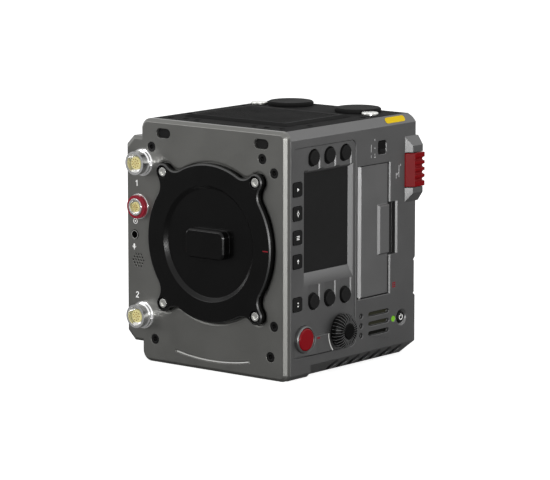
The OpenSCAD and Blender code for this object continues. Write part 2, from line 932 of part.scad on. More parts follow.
module front_plate() {
    color(plate_grey) difference() {
        chamfered_plate();
        at_lens() between_y(front_y - over, front_y + recess_depth) lobed_outline(recess_gap);
        rod_y(0, lens_z, ring_r + seam, front_y, front_y + recess_depth + ring_t);
        rod_y(0, lens_z, throat_r, front_y, front_y + front_t + over);
        at_lens() for (p = lobe_places)
            rod_y(p[0], p[1], cap_screw_r + seam, front_y, front_y + front_t + over);
        for (p = screw_places) {
            rod_y(p[0], p[1], screw_head_r + seam, front_y - over, front_y + screw_sink + screw_head_t);
            rod_y(p[0], p[1], screw_r + seam, front_y, front_y + front_t + over);
        }
        for (s = [-1, 1]) translate([s * slot_x, 0, body_h - slot_drop])
            between_y(front_y - over, front_y + front_t + over) obround(slot_w, slot_h);
        arc_groove();
        for (z = [port_up_z, port_low_z])
            rod_y(-port_x, z, port_body_r + seam, front_y - over, front_y + front_t + over);
        rod_y(-lens_port_x, lens_port_z, lens_tail_r + seam, front_y - over, front_y + front_t + over);
        rod_y(-jack_x, jack_z, jack_r + seam, front_y - over, front_y + front_t + over);
        for (p = mic_spots())
            rod_y(p[0] - mic_x, p[1] + mic_z, mic_hole_r, front_y - over, front_y + front_t + over);
    }
}

module front_screws() {
    color(key_black) for (p = screw_places) difference() {
        union() {
            rod_y(p[0], p[1], screw_head_r, front_y + screw_sink, front_y + screw_sink + screw_head_t);
            rod_y(p[0], p[1], screw_r, front_y + screw_sink, shank_y);
        }
        translate([p[0], front_y + screw_sink + hex_depth, p[1]]) rotate([90, 0, 0])
            cylinder(h = hex_depth + over, r = hex_r, $fn = 6);
    }
}

module lens_mount_ring() {
    color(steel) difference() {
        rod_y(0, lens_z, ring_r, front_y + recess_depth + seam, front_y + recess_depth + ring_t);
        rod_y(0, lens_z, throat_r, front_y, front_y + front_t);
    }
}

// Finger block with a chamfered top edge
module cap_grip(y0, y1) {
    hull() for (i = [-1, 1], k = [-1, 1]) {
        x = i * (grip_w / 2 - grip_r);
        z = k * (grip_h / 2 - grip_r);
        translate([x, y1, z]) rotate([90, 0, 0]) {
            cylinder(h = y1 - y0 - grip_c, r = grip_r, $fn = hull_fn);
            cylinder(h = y1 - y0, r = grip_r - grip_c, $fn = hull_fn);
        }
    }
}

module port_cap() {
    floor_y = cap_face_y + dish_depth;
    color(cap_black) at_lens() {
        difference() {
            between_y(cap_face_y, cap_back_y) lobed_outline(0);
            cone_y(0, 0, dish_r, dish_r - dish_wall, cap_face_y, floor_y);
            rod_y(0, 0, dish_r, cap_face_y - over, cap_face_y);
            for (p = lobe_places) {
                rod_y(p[0], p[1], cap_pocket_r, cap_face_y - over, cap_face_y + cap_pocket_t);
                rod_y(p[0], p[1], cap_screw_r + seam, cap_face_y, cap_back_y + over);
            }
        }
        cap_grip(floor_y - grip_rise, floor_y);
    }
}

module port_cap_screws() {
    head_back = cap_face_y + cap_pocket_t;
    color(steel) at_lens() for (p = lobe_places) difference() {
        union() {
            rod_y(p[0], p[1], cap_head_r, head_back - cap_head_t, head_back);
            rod_y(p[0], p[1], cap_screw_r, head_back - cap_head_t, cap_screw_y);
        }
        translate([p[0], head_back - cap_head_t / 2, p[1]]) rotate([90, 0, 0])
            cylinder(h = cap_head_t, r = hex_r, $fn = 6);
    }
}

module slot_windows() {
    color(glass_black) for (s = [-1, 1]) translate([s * slot_x, 0, body_h - slot_drop])
        between_y(front_y + slot_sink, front_y + front_t)
            obround(slot_w - 2 * seam, slot_h - 2 * seam);
}

module video_port(z) {
    color(steel) difference() {
        union() {
            rod_y(-port_x, z, port_flange_r, front_y - port_flange_t, front_y);
            difference() {
                rod_y(-port_x, z, port_collar_r, front_y - port_collar_t, front_y);
                for (i = [0:collar_notches - 1]) translate([-port_x, 0, z])
                    rotate([0, i * 360 / collar_notches, 0])
                        block([port_r, front_y - port_collar_t - over, -notch_w / 2],
                            [port_collar_r + over, front_y - port_flange_t, notch_w / 2]);
            }
            rod_y(-port_x, z, port_r, front_y - port_proud, front_y);
            rod_y(-port_x, z, port_body_r, front_y, front_y + port_tail);
        }
        rod_y(-port_x, z, port_bore_r, front_y - port_proud - over,
            front_y - port_proud + port_bore_depth);
    }
}

module video_port_upper() {
    video_port(port_up_z);
}

module video_port_lower() {
    video_port(port_low_z);
}

// Contact block of a receptacle with a ring of pins and one in the middle
module contact_block(x, z, r, y0, y1) {
    rod_y(x, z, r, y0, y1);
    rod_y(x, z, port_pin_r, y0 - port_pin_rise, y1);
    for (i = [0:port_pins - 1]) {
        a = i * 360 / port_pins;
        ring = r * pin_ring_share;
        rod_y(x + ring * cos(a), z + ring * sin(a), port_pin_r, y0 - port_pin_rise, y1);
    }
}

module video_port_inserts() {
    floor_y = front_y - port_proud + port_bore_depth - seam;
    color(contact_gold) for (z = [port_up_z, port_low_z])
        contact_block(-port_x, z, port_insert_r, front_y - port_proud + port_insert_sink, floor_y);
}

module lens_port_shell() {
    color(steel) difference() {
        union() {
            rod_y(-lens_port_x, lens_port_z, lens_flange_r, front_y - lens_flange_t, front_y);
            rod_y(-lens_port_x, lens_port_z, lens_port_r, front_y - lens_port_proud, front_y);
            rod_y(-lens_port_x, lens_port_z, lens_tail_r, front_y, front_y + lens_tail);
        }
        rod_y(-lens_port_x, lens_port_z, lens_bore_r, front_y - lens_port_proud - over,
            front_y - lens_port_proud + lens_bore_depth);
    }
}

module lens_port_ring() {
    back_y = front_y - lens_flange_t - seam;
    color(ring_red) difference() {
        rod_y(-lens_port_x, lens_port_z, lens_ring_r, back_y - lens_ring_t, back_y);
        rod_y(-lens_port_x, lens_port_z, lens_port_r + seam, back_y - lens_ring_t - over, back_y + over);
    }
}

module lens_port_insert() {
    color(contact_gold) contact_block(-lens_port_x, lens_port_z, lens_insert_r,
        front_y - lens_port_proud + lens_insert_sink,
        front_y - lens_port_proud + lens_bore_depth - seam);
}

module mic_jack() {
    color(key_black) difference() {
        rod_y(-jack_x, jack_z, jack_r, front_y - jack_rise, front_y + jack_tail);
        rod_y(-jack_x, jack_z, jack_bore_r, front_y - jack_rise - over, front_y + jack_bore_depth);
    }
}

module mic_capsule() {
    color(key_black) rod_y(-mic_x, mic_z, mic_r, shell_y, shell_y + mic_t);
}

// Tab on the wall of a shell that takes a screw of the front plate
module screw_tab_block(p, wall_x, low, high) {
    x0 = min(p[0] - screw_tab, wall_x);
    x1 = max(p[0] + screw_tab, wall_x);
    block([x0, shell_y, low], [x1, shell_y + screw_tab_t, high]);
}

module screw_bore(p) {
    rod_y(p[0], p[1], screw_r + seam, shell_y - over, shell_y + screw_tab_t + over);
}

// Wall section of the panel side in x and z
module right_section() {
    polygon([[side_x - under_in, 0], [side_x - foot_c, 0], [side_x, foot_c],
        [side_x, body_h - bevel_h], [side_x - bevel_in, body_h],
        [side_x - bevel_in, body_h - cover_t - seam], [inner_x, body_h - cover_t - seam],
        [inner_x, base_t + seam], [side_x - under_in, base_t + seam]]);
}

// Notches and inset strip in the rear edge, in y and z
module rear_notches() {
    for (z = [notch_low_z, notch_low_z + notch_pitch])
        polygon([[rear_y - notch_d, z], [rear_y + over, z + notch_h], [rear_y + over, z - notch_h]]);
    translate([rear_y - rear_strip_in, notch_low_z]) square([rear_strip_in + over, notch_pitch]);
}

// Guard round the release lever, with sloping ends
module lever_guard() {
    half = guard_h / 2;
    peak = side_x + guard_proud;
    difference() {
        between_z(guard_z - half, guard_z + half)
            polygon([[inner_x, guard_y], [side_x, guard_y], [peak, guard_y + guard_proud],
                [peak, guard_end_y], [inner_x, guard_end_y]]);
        for (s = [-1, 1]) translate([0, 0, guard_z]) between_y(guard_y - over, guard_end_y + over)
            polygon([[side_x, s * half], [peak + over, s * (half - guard_slope)],
                [peak + over, s * (half + over)], [side_x, s * (half + over)]]);
    }
}

module lever_window() {
    half = lever_h / 2 + gap;
    block([inner_x - over, lever_y - gap, lever_z - half],
        [side_x + guard_proud + over, guard_end_y + over, lever_z + half]);
}

module panel_outline(grow) {
    translate([(panel_y + panel_end_y) / 2, (panel_low + panel_top) / 2])
        round_rect(panel_d + 2 * grow, panel_top - panel_low + 2 * grow, panel_r + grow);
}

module door_outline(grow) {
    translate([door_y - grow, door_low - grow]) square([door_d + 2 * grow, door_h + 2 * grow]);
}

module under_vents() {
    for (i = [0:vents - 1]) translate([0, vent_y0 + i * vent_pitch, vent_z])
        between_x(side_x - under_in, side_x + over)
            rotate(vent_lean) obround(vent_len + 2 * vent_r, 2 * vent_r);
}

// Sloping edge along Z that is cut from the rear wall of a pocket in a face
module lit_edge(face, y, z0, z1, c) {
    between_z(z0, z1) polygon([[face - c, y], [face + over, y + c + over], [face + over, y - c],
        [face - c, y - c]]);
}

module right_shell() {
    color(shell_grey) difference() {
        union() {
            within_sides(shell_y) between_y(shell_y, rear_y) right_section();
            lever_guard();
            for (p = right_screws)
                screw_tab_block(p, inner_x + seam, p[1] - screw_tab, p[1] + screw_tab);
        }
        for (p = right_screws) screw_bore(p);
        between_y(under_y, rear_y + over) polygon([[side_x - under_in, 0], [side_x, under_h],
            [side_x + over, under_h], [side_x + over, -over], [side_x - under_in, -over]]);
        under_vents();
        between_x(inner_x - over, side_x + over) rear_notches();
        between_x(panel_back - seam, side_x + over) panel_outline(seam);
        between_x(inner_x - over, side_x) panel_outline(-panel_ledge);
        between_x(inner_x - over, side_x + over) door_outline(door_gap);
        rod_z(pivot_x, pivot_y, pin_r + seam, door_low - pin_seat - gap, door_top + pin_seat + gap);
        block([side_x - scoop_depth, door_end_y, tab_low - scoop_over],
            [side_x + over, door_end_y + scoop_d, tab_low + tab_h + scoop_over]);
        translate([0, lock_y, lock_z]) between_x(inner_x - over, side_x + over)
            round_rect(lock_window_d, lock_window_h, lock_r + gap);
        lit_edge(side_x, lock_y + lock_window_d / 2, lock_z - lock_window_h / 2 + lock_r + gap,
            lock_z + lock_window_h / 2 - lock_r - gap, lock_edge);
        lit_edge(side_x, door_end_y + door_gap, door_low - door_gap, door_top + door_gap, pocket_edge);
        lit_edge(side_x, door_end_y + scoop_d, tab_low - scoop_over, tab_low + tab_h + scoop_over,
            scoop_edge);
        lever_window();
        for (i = [0:2]) {
            z = air_low_z + i * air_pitch;
            rod_x(air_y, z, dot_r, side_x - air_depth, side_x + over);
            translate([0, air_slot_y + air_slot_d / 2, z])
                between_x(side_x - air_depth, side_x + over) obround(air_slot_d, air_slot_h);
        }
        rod_x(led_y, power_z, led_r + seam, inner_x - over, side_x + over);
        cone_x(power_y, power_z, power_dish_r - power_dish, power_dish_r + over,
            side_x - power_dish, side_x + over);
        rod_x(power_y, power_z, power_r + gap, inner_x - over, side_x);
        rod_x(power_y, power_z, power_r + power_flange + gap, inner_x - over, inner_x + power_pocket);
    }
}

// Sloping mouth of the display opening
module display_funnel() {
    hull() {
        block([glass_face, display_y, display_z], [glass_face + skin, display_end_y, display_top]);
        block([panel_face, display_y - funnel_front, display_z - funnel_low],
            [panel_face + over, display_end_y + funnel_side, display_top + funnel_high]);
    }
}

// Ridge that runs from the record button to the dial
module record_ridge() {
    low = panel_low + ridge_low;
    high = dial_z + ridge_high;
    start = panel_y + ridge_start;
    between_z(low, high) polygon([[panel_face - over, start], [panel_face, start],
        [panel_face + ridge_rise, start + ridge_ramp], [panel_face + ridge_rise, dial_y],
        [panel_face - over, dial_y]]);
}

module control_panel() {
    color(shell_grey) difference() {
        union() {
            between_x(panel_back, panel_face) panel_outline(0);
            record_ridge();
        }
        cone_x(dial_y, dial_z, dial_r + scallop_gap, dial_r + scallop_gap + ridge_rise + over,
            panel_face, panel_face + ridge_rise + over);
        rod_x(dial_y, dial_z, bush_r + gap, panel_back - over, panel_face + over);
        rod_x(record_y, record_z, bezel_r + seam, panel_back - over, panel_face + ridge_rise + over);
        display_funnel();
        block([panel_back - over, display_y, display_z], [panel_face, display_end_y, display_top]);
        for (p = round_places) {
            rod_x(p[0], p[1], key_ring_r, panel_back - over, panel_face + over);
            rod_x(p[0], p[1], key_ring_r + key_flange + seam, panel_back - over, mouth_back);
            near = p[1] > display_z ? display_top : display_z - funnel_low;
            block([panel_face - channel_depth, p[0] - key_ring_r, min(p[1], near)],
                [panel_face + over, p[0] + key_ring_r, max(p[1], near)]);
            lit_edge(panel_face, p[0] + key_ring_r, min(p[1], near), max(p[1], near), channel_depth);
        }
        for (p = square_places) translate([0, p[0], p[1]]) {
            between_x(panel_back - over, panel_face + over)
                round_rect(square_key + 2 * key_gap, square_key + 2 * key_gap, square_r + key_gap);
            between_x(panel_back - over, mouth_back)
                square([square_key + 2 * key_gap, square_key + 2 * (key_flange + gap)], center = true);
        }
    }
}

module display_glass() {
    color(glass_black) block([glass_back, display_y + seam, display_z + seam],
        [glass_face, display_end_y - seam, display_top - seam]);
}

module display_module() {
    color(key_black) block([module_back, display_y - module_margin, display_z - module_margin],
        [module_face, display_end_y + module_margin, display_top + module_margin]);
}

// Round key: a cap on a skirt that fills its ring, with a flange behind the panel face
module round_key(i) {
    y = round_places[i][0];
    z = round_places[i][1];
    flange_back = flange_top - key_flange_t;
    color(key_black) {
        rod_x(y, z, key_r, flange_top, panel_face + key_proud);
        rod_x(y, z, key_ring_r - key_gap, flange_back, panel_face - channel_depth - key_skirt_sink);
        rod_x(y, z, key_ring_r + key_flange - key_gap, flange_back, flange_top);
        rod_x(y, z, key_stem_r, stem_end, flange_top);
    }
}

module square_key_body(i) {
    color(key_black) translate([0, square_places[i][0], square_places[i][1]]) {
        between_x(flange_top - key_flange_t, panel_face + square_proud)
            round_rect(square_key, square_key, square_r);
        between_x(flange_top - key_flange_t, flange_top)
            square([square_key - 2 * square_r, square_key + 2 * key_flange], center = true);
        rod_x(0, 0, key_stem_r, stem_end, flange_top);
    }
}

module soft_key_1() { round_key(0); }
module soft_key_2() { round_key(1); }
module soft_key_3() { round_key(2); }
module soft_key_4() { round_key(3); }
module soft_key_5() { round_key(4); }
module soft_key_6() { round_key(5); }
module menu_key_1() { square_key_body(0); }
module menu_key_2() { square_key_body(1); }
module menu_key_3() { square_key_body(2); }
module menu_key_4() { square_key_body(3); }
module menu_key_5() { square_key_body(4); }

module record_bezel() {
    color(steel) difference() {
        union() {
            rod_x(record_y, record_z, bezel_r, bezel_back, bezel_face - bezel_c);
            cone_x(record_y, record_z, bezel_r, bezel_r - bezel_c, bezel_face - bezel_c, bezel_face);
        }
        rod_x(record_y, record_z, record_r + gap, bezel_back - over, bezel_face + over);
    }
}

module record_button() {
    flange_end = bezel_back - gap;
    color(signal_red) {
        rod_x(record_y, record_z, record_r, flange_end - record_flange_t, record_face);
        rod_x(record_y, record_z, record_r + record_flange, flange_end - record_flange_t, flange_end);
    }
}

module jog_dial() {
    shoulder = dial_face - dial_bevel;
    color(key_black) difference() {
        union() {
            rod_x(dial_y, dial_z, dial_r, dial_back, shoulder);
            cone_x(dial_y, dial_z, dial_r, dial_r - dial_bevel, shoulder, dial_face);
        }
        rod_x(dial_y, dial_z, bush_r + run_fit, dial_back - over, hub_pocket);
        rod_x(dial_y, dial_z, hub_r + seam, hub_pocket, dial_face + over);
        for (i = [0:dial_grooves - 1]) {
            a = i * 360 / dial_grooves;
            rod_x(dial_y + dial_r * cos(a), dial_z + dial_r * sin(a), dial_groove_r,
                dial_back + gap, dial_face + over);
        }
    }
}

module dial_button() {
    color(key_black) {
        rod_x(dial_y, dial_z, hub_r, hub_back, hub_face);
        rod_x(dial_y, dial_z, hub_stem_r, panel_back, hub_back);
    }
}

module dial_encoder() {
    top = panel_back - seam;
    color(fin_grey) difference() {
        union() {
            block([top - encoder_t, dial_y - encoder_half, dial_z - encoder_half],
                [top, dial_y + encoder_half, dial_z + encoder_half]);
            rod_x(dial_y, dial_z, bush_r, top, bush_end);
        }
        rod_x(dial_y, dial_z, bush_bore, top - encoder_t / 2, bush_end + over);
    }
}

module power_button() {
    back = power_flange_top - power_flange_t;
    color(key_black) {
        rod_x(power_y, power_z, power_r, back, side_x - power_face_sink);
        rod_x(power_y, power_z, power_r + power_flange, back, power_flange_top);
    }
}

module status_light() {
    color(lamp_green) rod_x(led_y, power_z, led_r, inner_x, side_x);
}

module media_door() {
    color(shell_grey) difference() {
        union() {
            between_z(door_low, door_top) polygon([[pivot_x, door_y], [door_face, pivot_y],
                [door_face, door_end_y], [door_back, door_end_y], [door_back, pivot_y - door_nose]]);
            block([door_back, door_end_y - tab_d, tab_low], [side_x, door_end_y, tab_low + tab_h]);
        }
        rod_z(pivot_x, pivot_y, pin_r + run_fit, door_low - over, door_top + over);
    }
}

module door_hinge_pin() {
    color(steel) rod_z(pivot_x, pivot_y, pin_r, door_low - pin_seat, door_top + pin_seat);
}

module media_lock() {
    plate_half_h = (lock_window_h + lock_travel) / 2 + gap;
    plate_half_d = lock_window_d / 2 + lock_plate_over;
    back = inner_x - gap - lock_plate_t;
    knob_half = lock_window_d / 2 - gap;
    color(key_black) translate([0, lock_y, lock_knob_z]) {
        block([back, -plate_half_d, -plate_half_h], [back + lock_plate_t, plate_half_d, plate_half_h]);
        between_x(back, lock_face) round_rect(2 * knob_half, lock_knob_h, lock_r);
    }
}

module media_bay() {
    y0 = door_y - bay_wall;
    y1 = door_end_y + bay_wall;
    z0 = door_low - bay_wall;
    z1 = door_top - bay_wall;
    color(cover_black) difference() {
        union() {
            block([bay_face - bay_depth, y0, z0], [bay_face, y1, z1]);
            block([bay_face - bay_wall, y0 - bay_flange / 2, z0 - bay_flange],
                [bay_face, y1 + bay_flange, z1 + bay_flange]);
        }
        block([bay_face - bay_depth + bay_wall, y0 + bay_wall, z0 + 2 * bay_wall],
            [bay_face + over, y1 - bay_wall, z1 - bay_wall]);
    }
}

module media_card() {
    color(key_black) block([bay_face - bay_depth + bay_wall + card_gap, door_y + card_gap,
            door_low + bay_wall + card_gap],
        [bay_face - card_sink, door_end_y - card_gap, door_top - 2 * bay_wall - card_gap]);
}

module release_lever() {
    half = lever_h / 2;
    peak = side_x + lever_proud;
    stem_x = inner_x - gap;
    color(signal_red) difference() {
        translate([0, 0, lever_z]) {
            between_z(-half, half) polygon([[side_x, lever_y], [peak, lever_y + lever_proud],
                [peak, lever_end_y], [lever_root, lever_end_y], [lever_root, lever_y]]);
            block([stem_x - lever_flange_t, lever_y, -half],
                [lever_root + skin, lever_y + lever_stem_d, half]);
            block([stem_x - lever_flange_t, lever_y - lever_flange, -half - lever_flange],
                [stem_x, lever_y + lever_stem_d, half + lever_flange]);
        }
        for (i = [1:lever_grooves]) {
            z = lever_z - half + i * lever_h / (lever_grooves + 1);
            rod_y(peak, z, lever_groove_r, lever_y + lever_proud, lever_end_y + over);
            rod_x(lever_end_y, z, lever_groove_r, side_x, peak + over);
        }
    }
}

module battery_latch() {
    color(signal_red) block([latch_end - latch_w, rear_y + latch_sink, latch_z - latch_h / 2],
        [latch_end, rear_y + plate_t + latch_hook, latch_z + latch_h / 2]);
}

module top_cover() {
    low = body_h - cover_t;
    p = screw_place(cover_screw_share);
    color(cover_black) difference() {
        union() {
            within_sides(shell_y) block([seam_left + seam, shell_y, low],
                [side_x - bevel_in - seam, rear_y, body_h]);
            block([p[0] - screw_tab, shell_y, p[1] - screw_tab],
                [p[0] + screw_tab, shell_y + screw_tab_t, low + seam]);
        }
        screw_bore(p);
        block([-grille_half + grille_bevel, grille_y + grille_bevel, body_h - grille_seat],
            [grille_half - grille_bevel, grille_y + grille_d - grille_bevel, body_h + over]);
        for (span = tap_spans, s = [-1, 1]) rod_z(s * span / 2, tap_y, tap_r, low - over, body_h + over);
        for (i = [-1, 1], k = [-1, 1])
            rod_z(i * strip_span_x / 2, strip_y + k * strip_span_y / 2, tap_r, low - over, body_h + over);
        for (s = [-1, 1]) {
            rod_z(s * top_cap_x, top_cap_y, top_cap_r * spigot_share + seam,
                body_h - spigot_depth - seam, body_h + over);
            rod_z(s * stud_x, stud_y, stud_r * spigot_share + seam,
                body_h - spigot_depth - seam, body_h + over);
        }
    }
}

module top_grille() {
    seat = body_h + seam;
    top = body_h + grille_rise;
    y1 = grille_y + grille_d;
    inner = grille_half - grille_bevel;
    pitch = (grille_d - 2 * grille_bevel - 2 * rib_margin) / grille_ribs;
    color(cap_black) difference() {
        union() {
            hull() {
                block([-grille_half, grille_y, seat], [grille_half, y1, seat + skin]);
                block([-inner, grille_y + grille_bevel, top - skin], [inner, y1 - grille_bevel, top]);
            }
            block([-inner + seam, grille_y + grille_bevel + seam, seat - grille_seat],
                [inner - seam, y1 - grille_bevel - seam, seat + skin]);
        }
        for (i = [0:grille_ribs - 1]) {
            y = grille_y + grille_bevel + rib_margin + i * pitch;
            block([-inner + rib_margin, y, top - rib_depth],
                [inner - rib_margin, y + pitch * rib_share, top + over]);
        }
    }
}

// Round piece on the top cover with a chamfered rim and a spigot
module top_knob(x, y, r, rise, c) {
    seat = body_h + seam;
    rod_z(x, y, r, seat, seat + rise - c);
    translate([x, y, seat + rise - c]) cylinder(h = c, r1 = r, r2 = r - c);
    rod_z(x, y, r * spigot_share, body_h - spigot_depth, seat);
}

module top_caps() {
    color(cap_black) for (s = [-1, 1])
        top_knob(s * top_cap_x, top_cap_y, top_cap_r, top_cap_rise, top_cap_c);
}

module strap_studs() {
    color(steel) for (s = [-1, 1]) top_knob(s * stud_x, stud_y, stud_r, stud_rise, stud_c);
}

module bottom_plate() {
    color(cover_black) difference() {
        union() {
            within_sides(shell_y) block([seam_left + seam, shell_y, 0],
                [side_x - under_in - seam, rear_y, base_t]);
            rod_z(0, 0, tripod_r + boss_wall, 0, tripod_d);
        }
        rod_z(0, 0, tripod_r, -over, tripod_d + over);
        for (s = [-1, 1]) rod_z(0, s * pin_hole_y, pin_hole_r, -over, base_t + over);
        for (i = [-1, 1], k = [-1, 1])
            rod_z(i * foot_span_x / 2, k * foot_span_y / 2, foot_hole_r, -over, base_t + over);
    }
}

module rear_panel() {
    color(shell_grey) difference() {
        within_sides(shell_y) block([left_x + wall_t + seam, rear_face_y, base_t + seam],
            [inner_x - seam, rear_y, body_h - cover_t - seam]);
        for (z = [0, body_h - corner_left - seam]) block([left_x + wall_t, rear_face_y - over, z],
            [seam_left + seam, rear_y + over, z + corner_left + seam]);
        for (x = sdi_places) rod_y(x, sdi_z, sdi_r + seam, rear_face_y - over, rear_y + over);
        rod_y(inlet_x, sdi_z, inlet_r + seam, rear_face_y - over, rear_y + over);
    }
}

module battery_plate() {
    y0 = rear_y + seam;
    y1 = rear_y + plate_t;
    top = body_h - plate_top_drop;
    slot_start = latch_end - latch_w - lever_travel - gap;
    slot_half = latch_h / 2 + gap;
    contact_low = plate_low + contact_rise;
    color(cover_black) difference() {
        block([-plate_half, y0, plate_low], [plate_half, y1, top]);
        between_y(y1 - vee_depth, y1 + over) polygon([[-vee_top_half, top + over],
            [vee_top_half, top + over], [vee_low_half, top - vee_h], [-vee_low_half, top - vee_h]]);
        block([slot_start, rear_y + latch_sink - gap, latch_z - slot_half],
            [latch_end + gap, y1 + over, latch_z + slot_half]);
        block([-contact_half, y1 - vee_depth, contact_low],
            [contact_half, y1 + over, contact_low + contact_h]);
    }
}

module sdi_connectors() {
    color(steel) for (x = sdi_places) difference() {
        union() {
            rod_y(x, sdi_z, sdi_r, rear_face_y - sdi_tail, rear_y + sdi_proud);
            rod_y(x, sdi_z, sdi_nut_r, rear_y + seam, rear_y + seam + sdi_nut_t);
        }
        rod_y(x, sdi_z, sdi_bore, rear_y + sdi_nut_t, rear_y + sdi_proud + over);
    }
}

module power_inlet() {
    floor_y = rear_face_y + seam;
    color(steel) {
        difference() {
            rod_y(inlet_x, sdi_z, inlet_r, rear_face_y - sdi_tail, rear_y + inlet_proud);
            rod_y(inlet_x, sdi_z, inlet_bore_r, floor_y, rear_y + inlet_proud + over);
        }
        for (i = [0:inlet_pins - 1]) {
            a = (i + 1 / 2) * 360 / inlet_pins;
            rod_y(inlet_x + inlet_pin_ring * cos(a), sdi_z + inlet_pin_ring * sin(a), inlet_pin_r,
                floor_y - over, rear_y);
        }
    }
}

// Tabs of the left shell, which reach past the ends of the housing behind the wing
module left_tabs() {
    for (p = left_screws) {
        high = p[1] > body_h / 2;
        screw_tab_block(p, left_x + wall_t - seam, high ? p[1] - screw_tab : wing_low - pod_wall,
            high ? wing_top + pod_wall : p[1] + screw_tab);
    }
}

// Air slots in the outer wall of the housing behind the wing
module pod_air_slots(pod_y) {
    slot_rise = (wing_top - wing_low - 2 * wing_corner) / (2 * pod_slots);
    y1 = pod_y - pod_slot_in;
    for (i = [0:pod_slots - 1]) {
        z = wing_low + wing_corner + (2 * i + 1 / 2) * slot_rise;
        block([wing_x - over, y1 - pod_slot_d, z], [wing_x + pod_wall + over, y1, z + slot_rise]);
    }
}

module left_shell() {
    pod_y = front_y + pod_d;
    color(plate_grey) difference() {
        union() {
            difference() {
                union() {
                    within_sides(shell_y) between_y(shell_y, rear_y) main_outline(0);
                    between_y(shell_y, pod_y) wing_outline(0);
                }
                between_y(shell_y - over, rear_y + over) main_outline(wall_t);
                between_y(shell_y - over, pod_y - pod_wall) wing_outline(pod_wall);
                block([seam_left, front_y, -over], [side_x + over, rear_y + over, body_h + over]);
            }
            left_tabs();
        }
        for (p = left_screws) screw_bore(p);
        for (z = [port_up_z, port_low_z])
            rod_y(-port_x, z, port_body_r + gap, shell_y - over, front_y + port_tail + gap);
        pod_air_slots(pod_y);
    }
}

module image_sensor() {
    color(glass_black) at_lens() difference() {
        block([-sensor_w / 2, sensor_y, -sensor_h / 2],
            [sensor_w / 2, sensor_y + sensor_t, sensor_h / 2]);
        block([-sensor_window_w / 2, sensor_y - over, -sensor_window_h / 2],
            [sensor_window_w / 2, sensor_y + sensor_window_t, sensor_window_h / 2]);
    }
}

module sensor_board() {
    color(board_green) at_lens() block([-sensor_board_w / 2, sensor_board_y, -sensor_board_h / 2],
        [sensor_board_w / 2, sensor_board_y + pcb_t, sensor_board_h / 2]);
}

module heat_sink() {
    pitch = (2 * sink_half - sink_fin_t) / (sink_fins - 1);
    color(fin_grey) at_lens() {
        block([-sink_half, sink_y, -sink_half], [sink_half, sink_y + sink_base, sink_half]);
        for (i = [0:sink_fins - 1])
            block([-sink_half + i * pitch, sink_y + sink_base - skin, -sink_half],
                [-sink_half + i * pitch + sink_fin_t, sink_y + sink_base + sink_fin, sink_half]);
    }
}

module fan_housing() {
    y1 = fan_y + fan_t;
    color(key_black) at_lens() {
        difference() {
            block([-sink_half, fan_y, -sink_half], [sink_half, y1, sink_half]);
            rod_y(0, 0, fan_r, fan_y - over, y1 + over);
        }
        rod_y(0, 0, fan_hub_r, y1 - fan_web, y1);
        rod_y(0, 0, fan_pin_r, fan_y + fan_web, y1 - fan_web + skin);
        for (s = [0, 1]) rotate([0, 90 * s, 0])
            block([-fan_r - over, y1 - fan_web, -fan_arm / 2], [fan_r + over, y1, fan_arm / 2]);
    }
}

module fan_rotor() {
    y0 = fan_y + fan_web;
    y1 = fan_y + fan_t - fan_web - gap;
    mid = (y0 + y1) / 2;
    reach = fan_r - fan_tip_gap;
    color(cover_black) at_lens() difference() {
        union() {
            rod_y(0, 0, fan_hub_r, y0, y1);
            for (i = [0:fan_blades - 1]) rotate([0, i * 360 / fan_blades, 0])
                translate([0, mid, 0]) rotate([fan_blade_lean, 0, 0])
                    block([fan_hub_r - over, -fan_blade_w / 2, -fan_blade_t / 2],
                        [reach - over, fan_blade_w / 2, fan_blade_t / 2]);
        }
        rod_y(0, 0, fan_pin_r + run_fit, y0 - over, y1 + over);
    }
}

module main_board() {
    post = sink_half * board_post_share;
    color(board_green) {
        block([left_x + board_left, board_y, board_low],
            [side_x - board_right, board_y + pcb_t, body_h - board_drop]);
        at_lens() for (i = [-1, 1], k = [-1, 1])
            rod_y(i * post, k * post, board_post_r, board_y - board_post, board_y + skin);
    }
}

module key_board() {
    edge = panel_ledge + gap;
    far = encoder_half + gap;
    color(board_green) {
        difference() {
            between_x(board_x, board_x + board_t) panel_outline(-edge);
            block([board_x - over, dial_y - far, dial_z - far],
                [board_x + board_t + over, dial_y + far, dial_z + far]);
        }
        for (p = concat(round_places, square_places))
            rod_x(p[0], p[1], switch_r, board_x, switch_end);
    }
}

front_plate();
front_screws();
lens_mount_ring();
port_cap();
port_cap_screws();
slot_windows();
video_port_upper();
video_port_lower();
video_port_inserts();
lens_port_shell();
lens_port_ring();
lens_port_insert();
mic_jack();
mic_capsule();
right_shell();
control_panel();
display_glass();
display_module();
soft_key_1();
soft_key_2();
soft_key_3();
soft_key_4();
soft_key_5();
soft_key_6();
menu_key_1();
menu_key_2();
menu_key_3();
menu_key_4();
menu_key_5();
record_bezel();
record_button();
jog_dial();
dial_button();
dial_encoder();
power_button();
status_light();
media_door();
door_hinge_pin();
media_lock();
media_bay();
media_card();
release_lever();
battery_latch();
top_cover();
top_grille();
top_caps();
strap_studs();
bottom_plate();
rear_panel();
battery_plate();
sdi_connectors();
power_inlet();
left_shell();
image_sensor();
sensor_board();
main_board();
heat_sink();
fan_housing();
fan_rotor();
key_board();
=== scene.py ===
"""Looks of a digital cinema camera body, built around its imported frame.

Lengths in the classes are millimetres and are turned to metres where a mesh is made. X = 0 is
the lens axis, the lens port faces -Y, the control panel faces +X and Z = 0 is the base.
"""
import json
import logging
import math
from dataclasses import dataclass, field
from enum import Enum

import bmesh
import bpy
from mathutils import Matrix, Vector

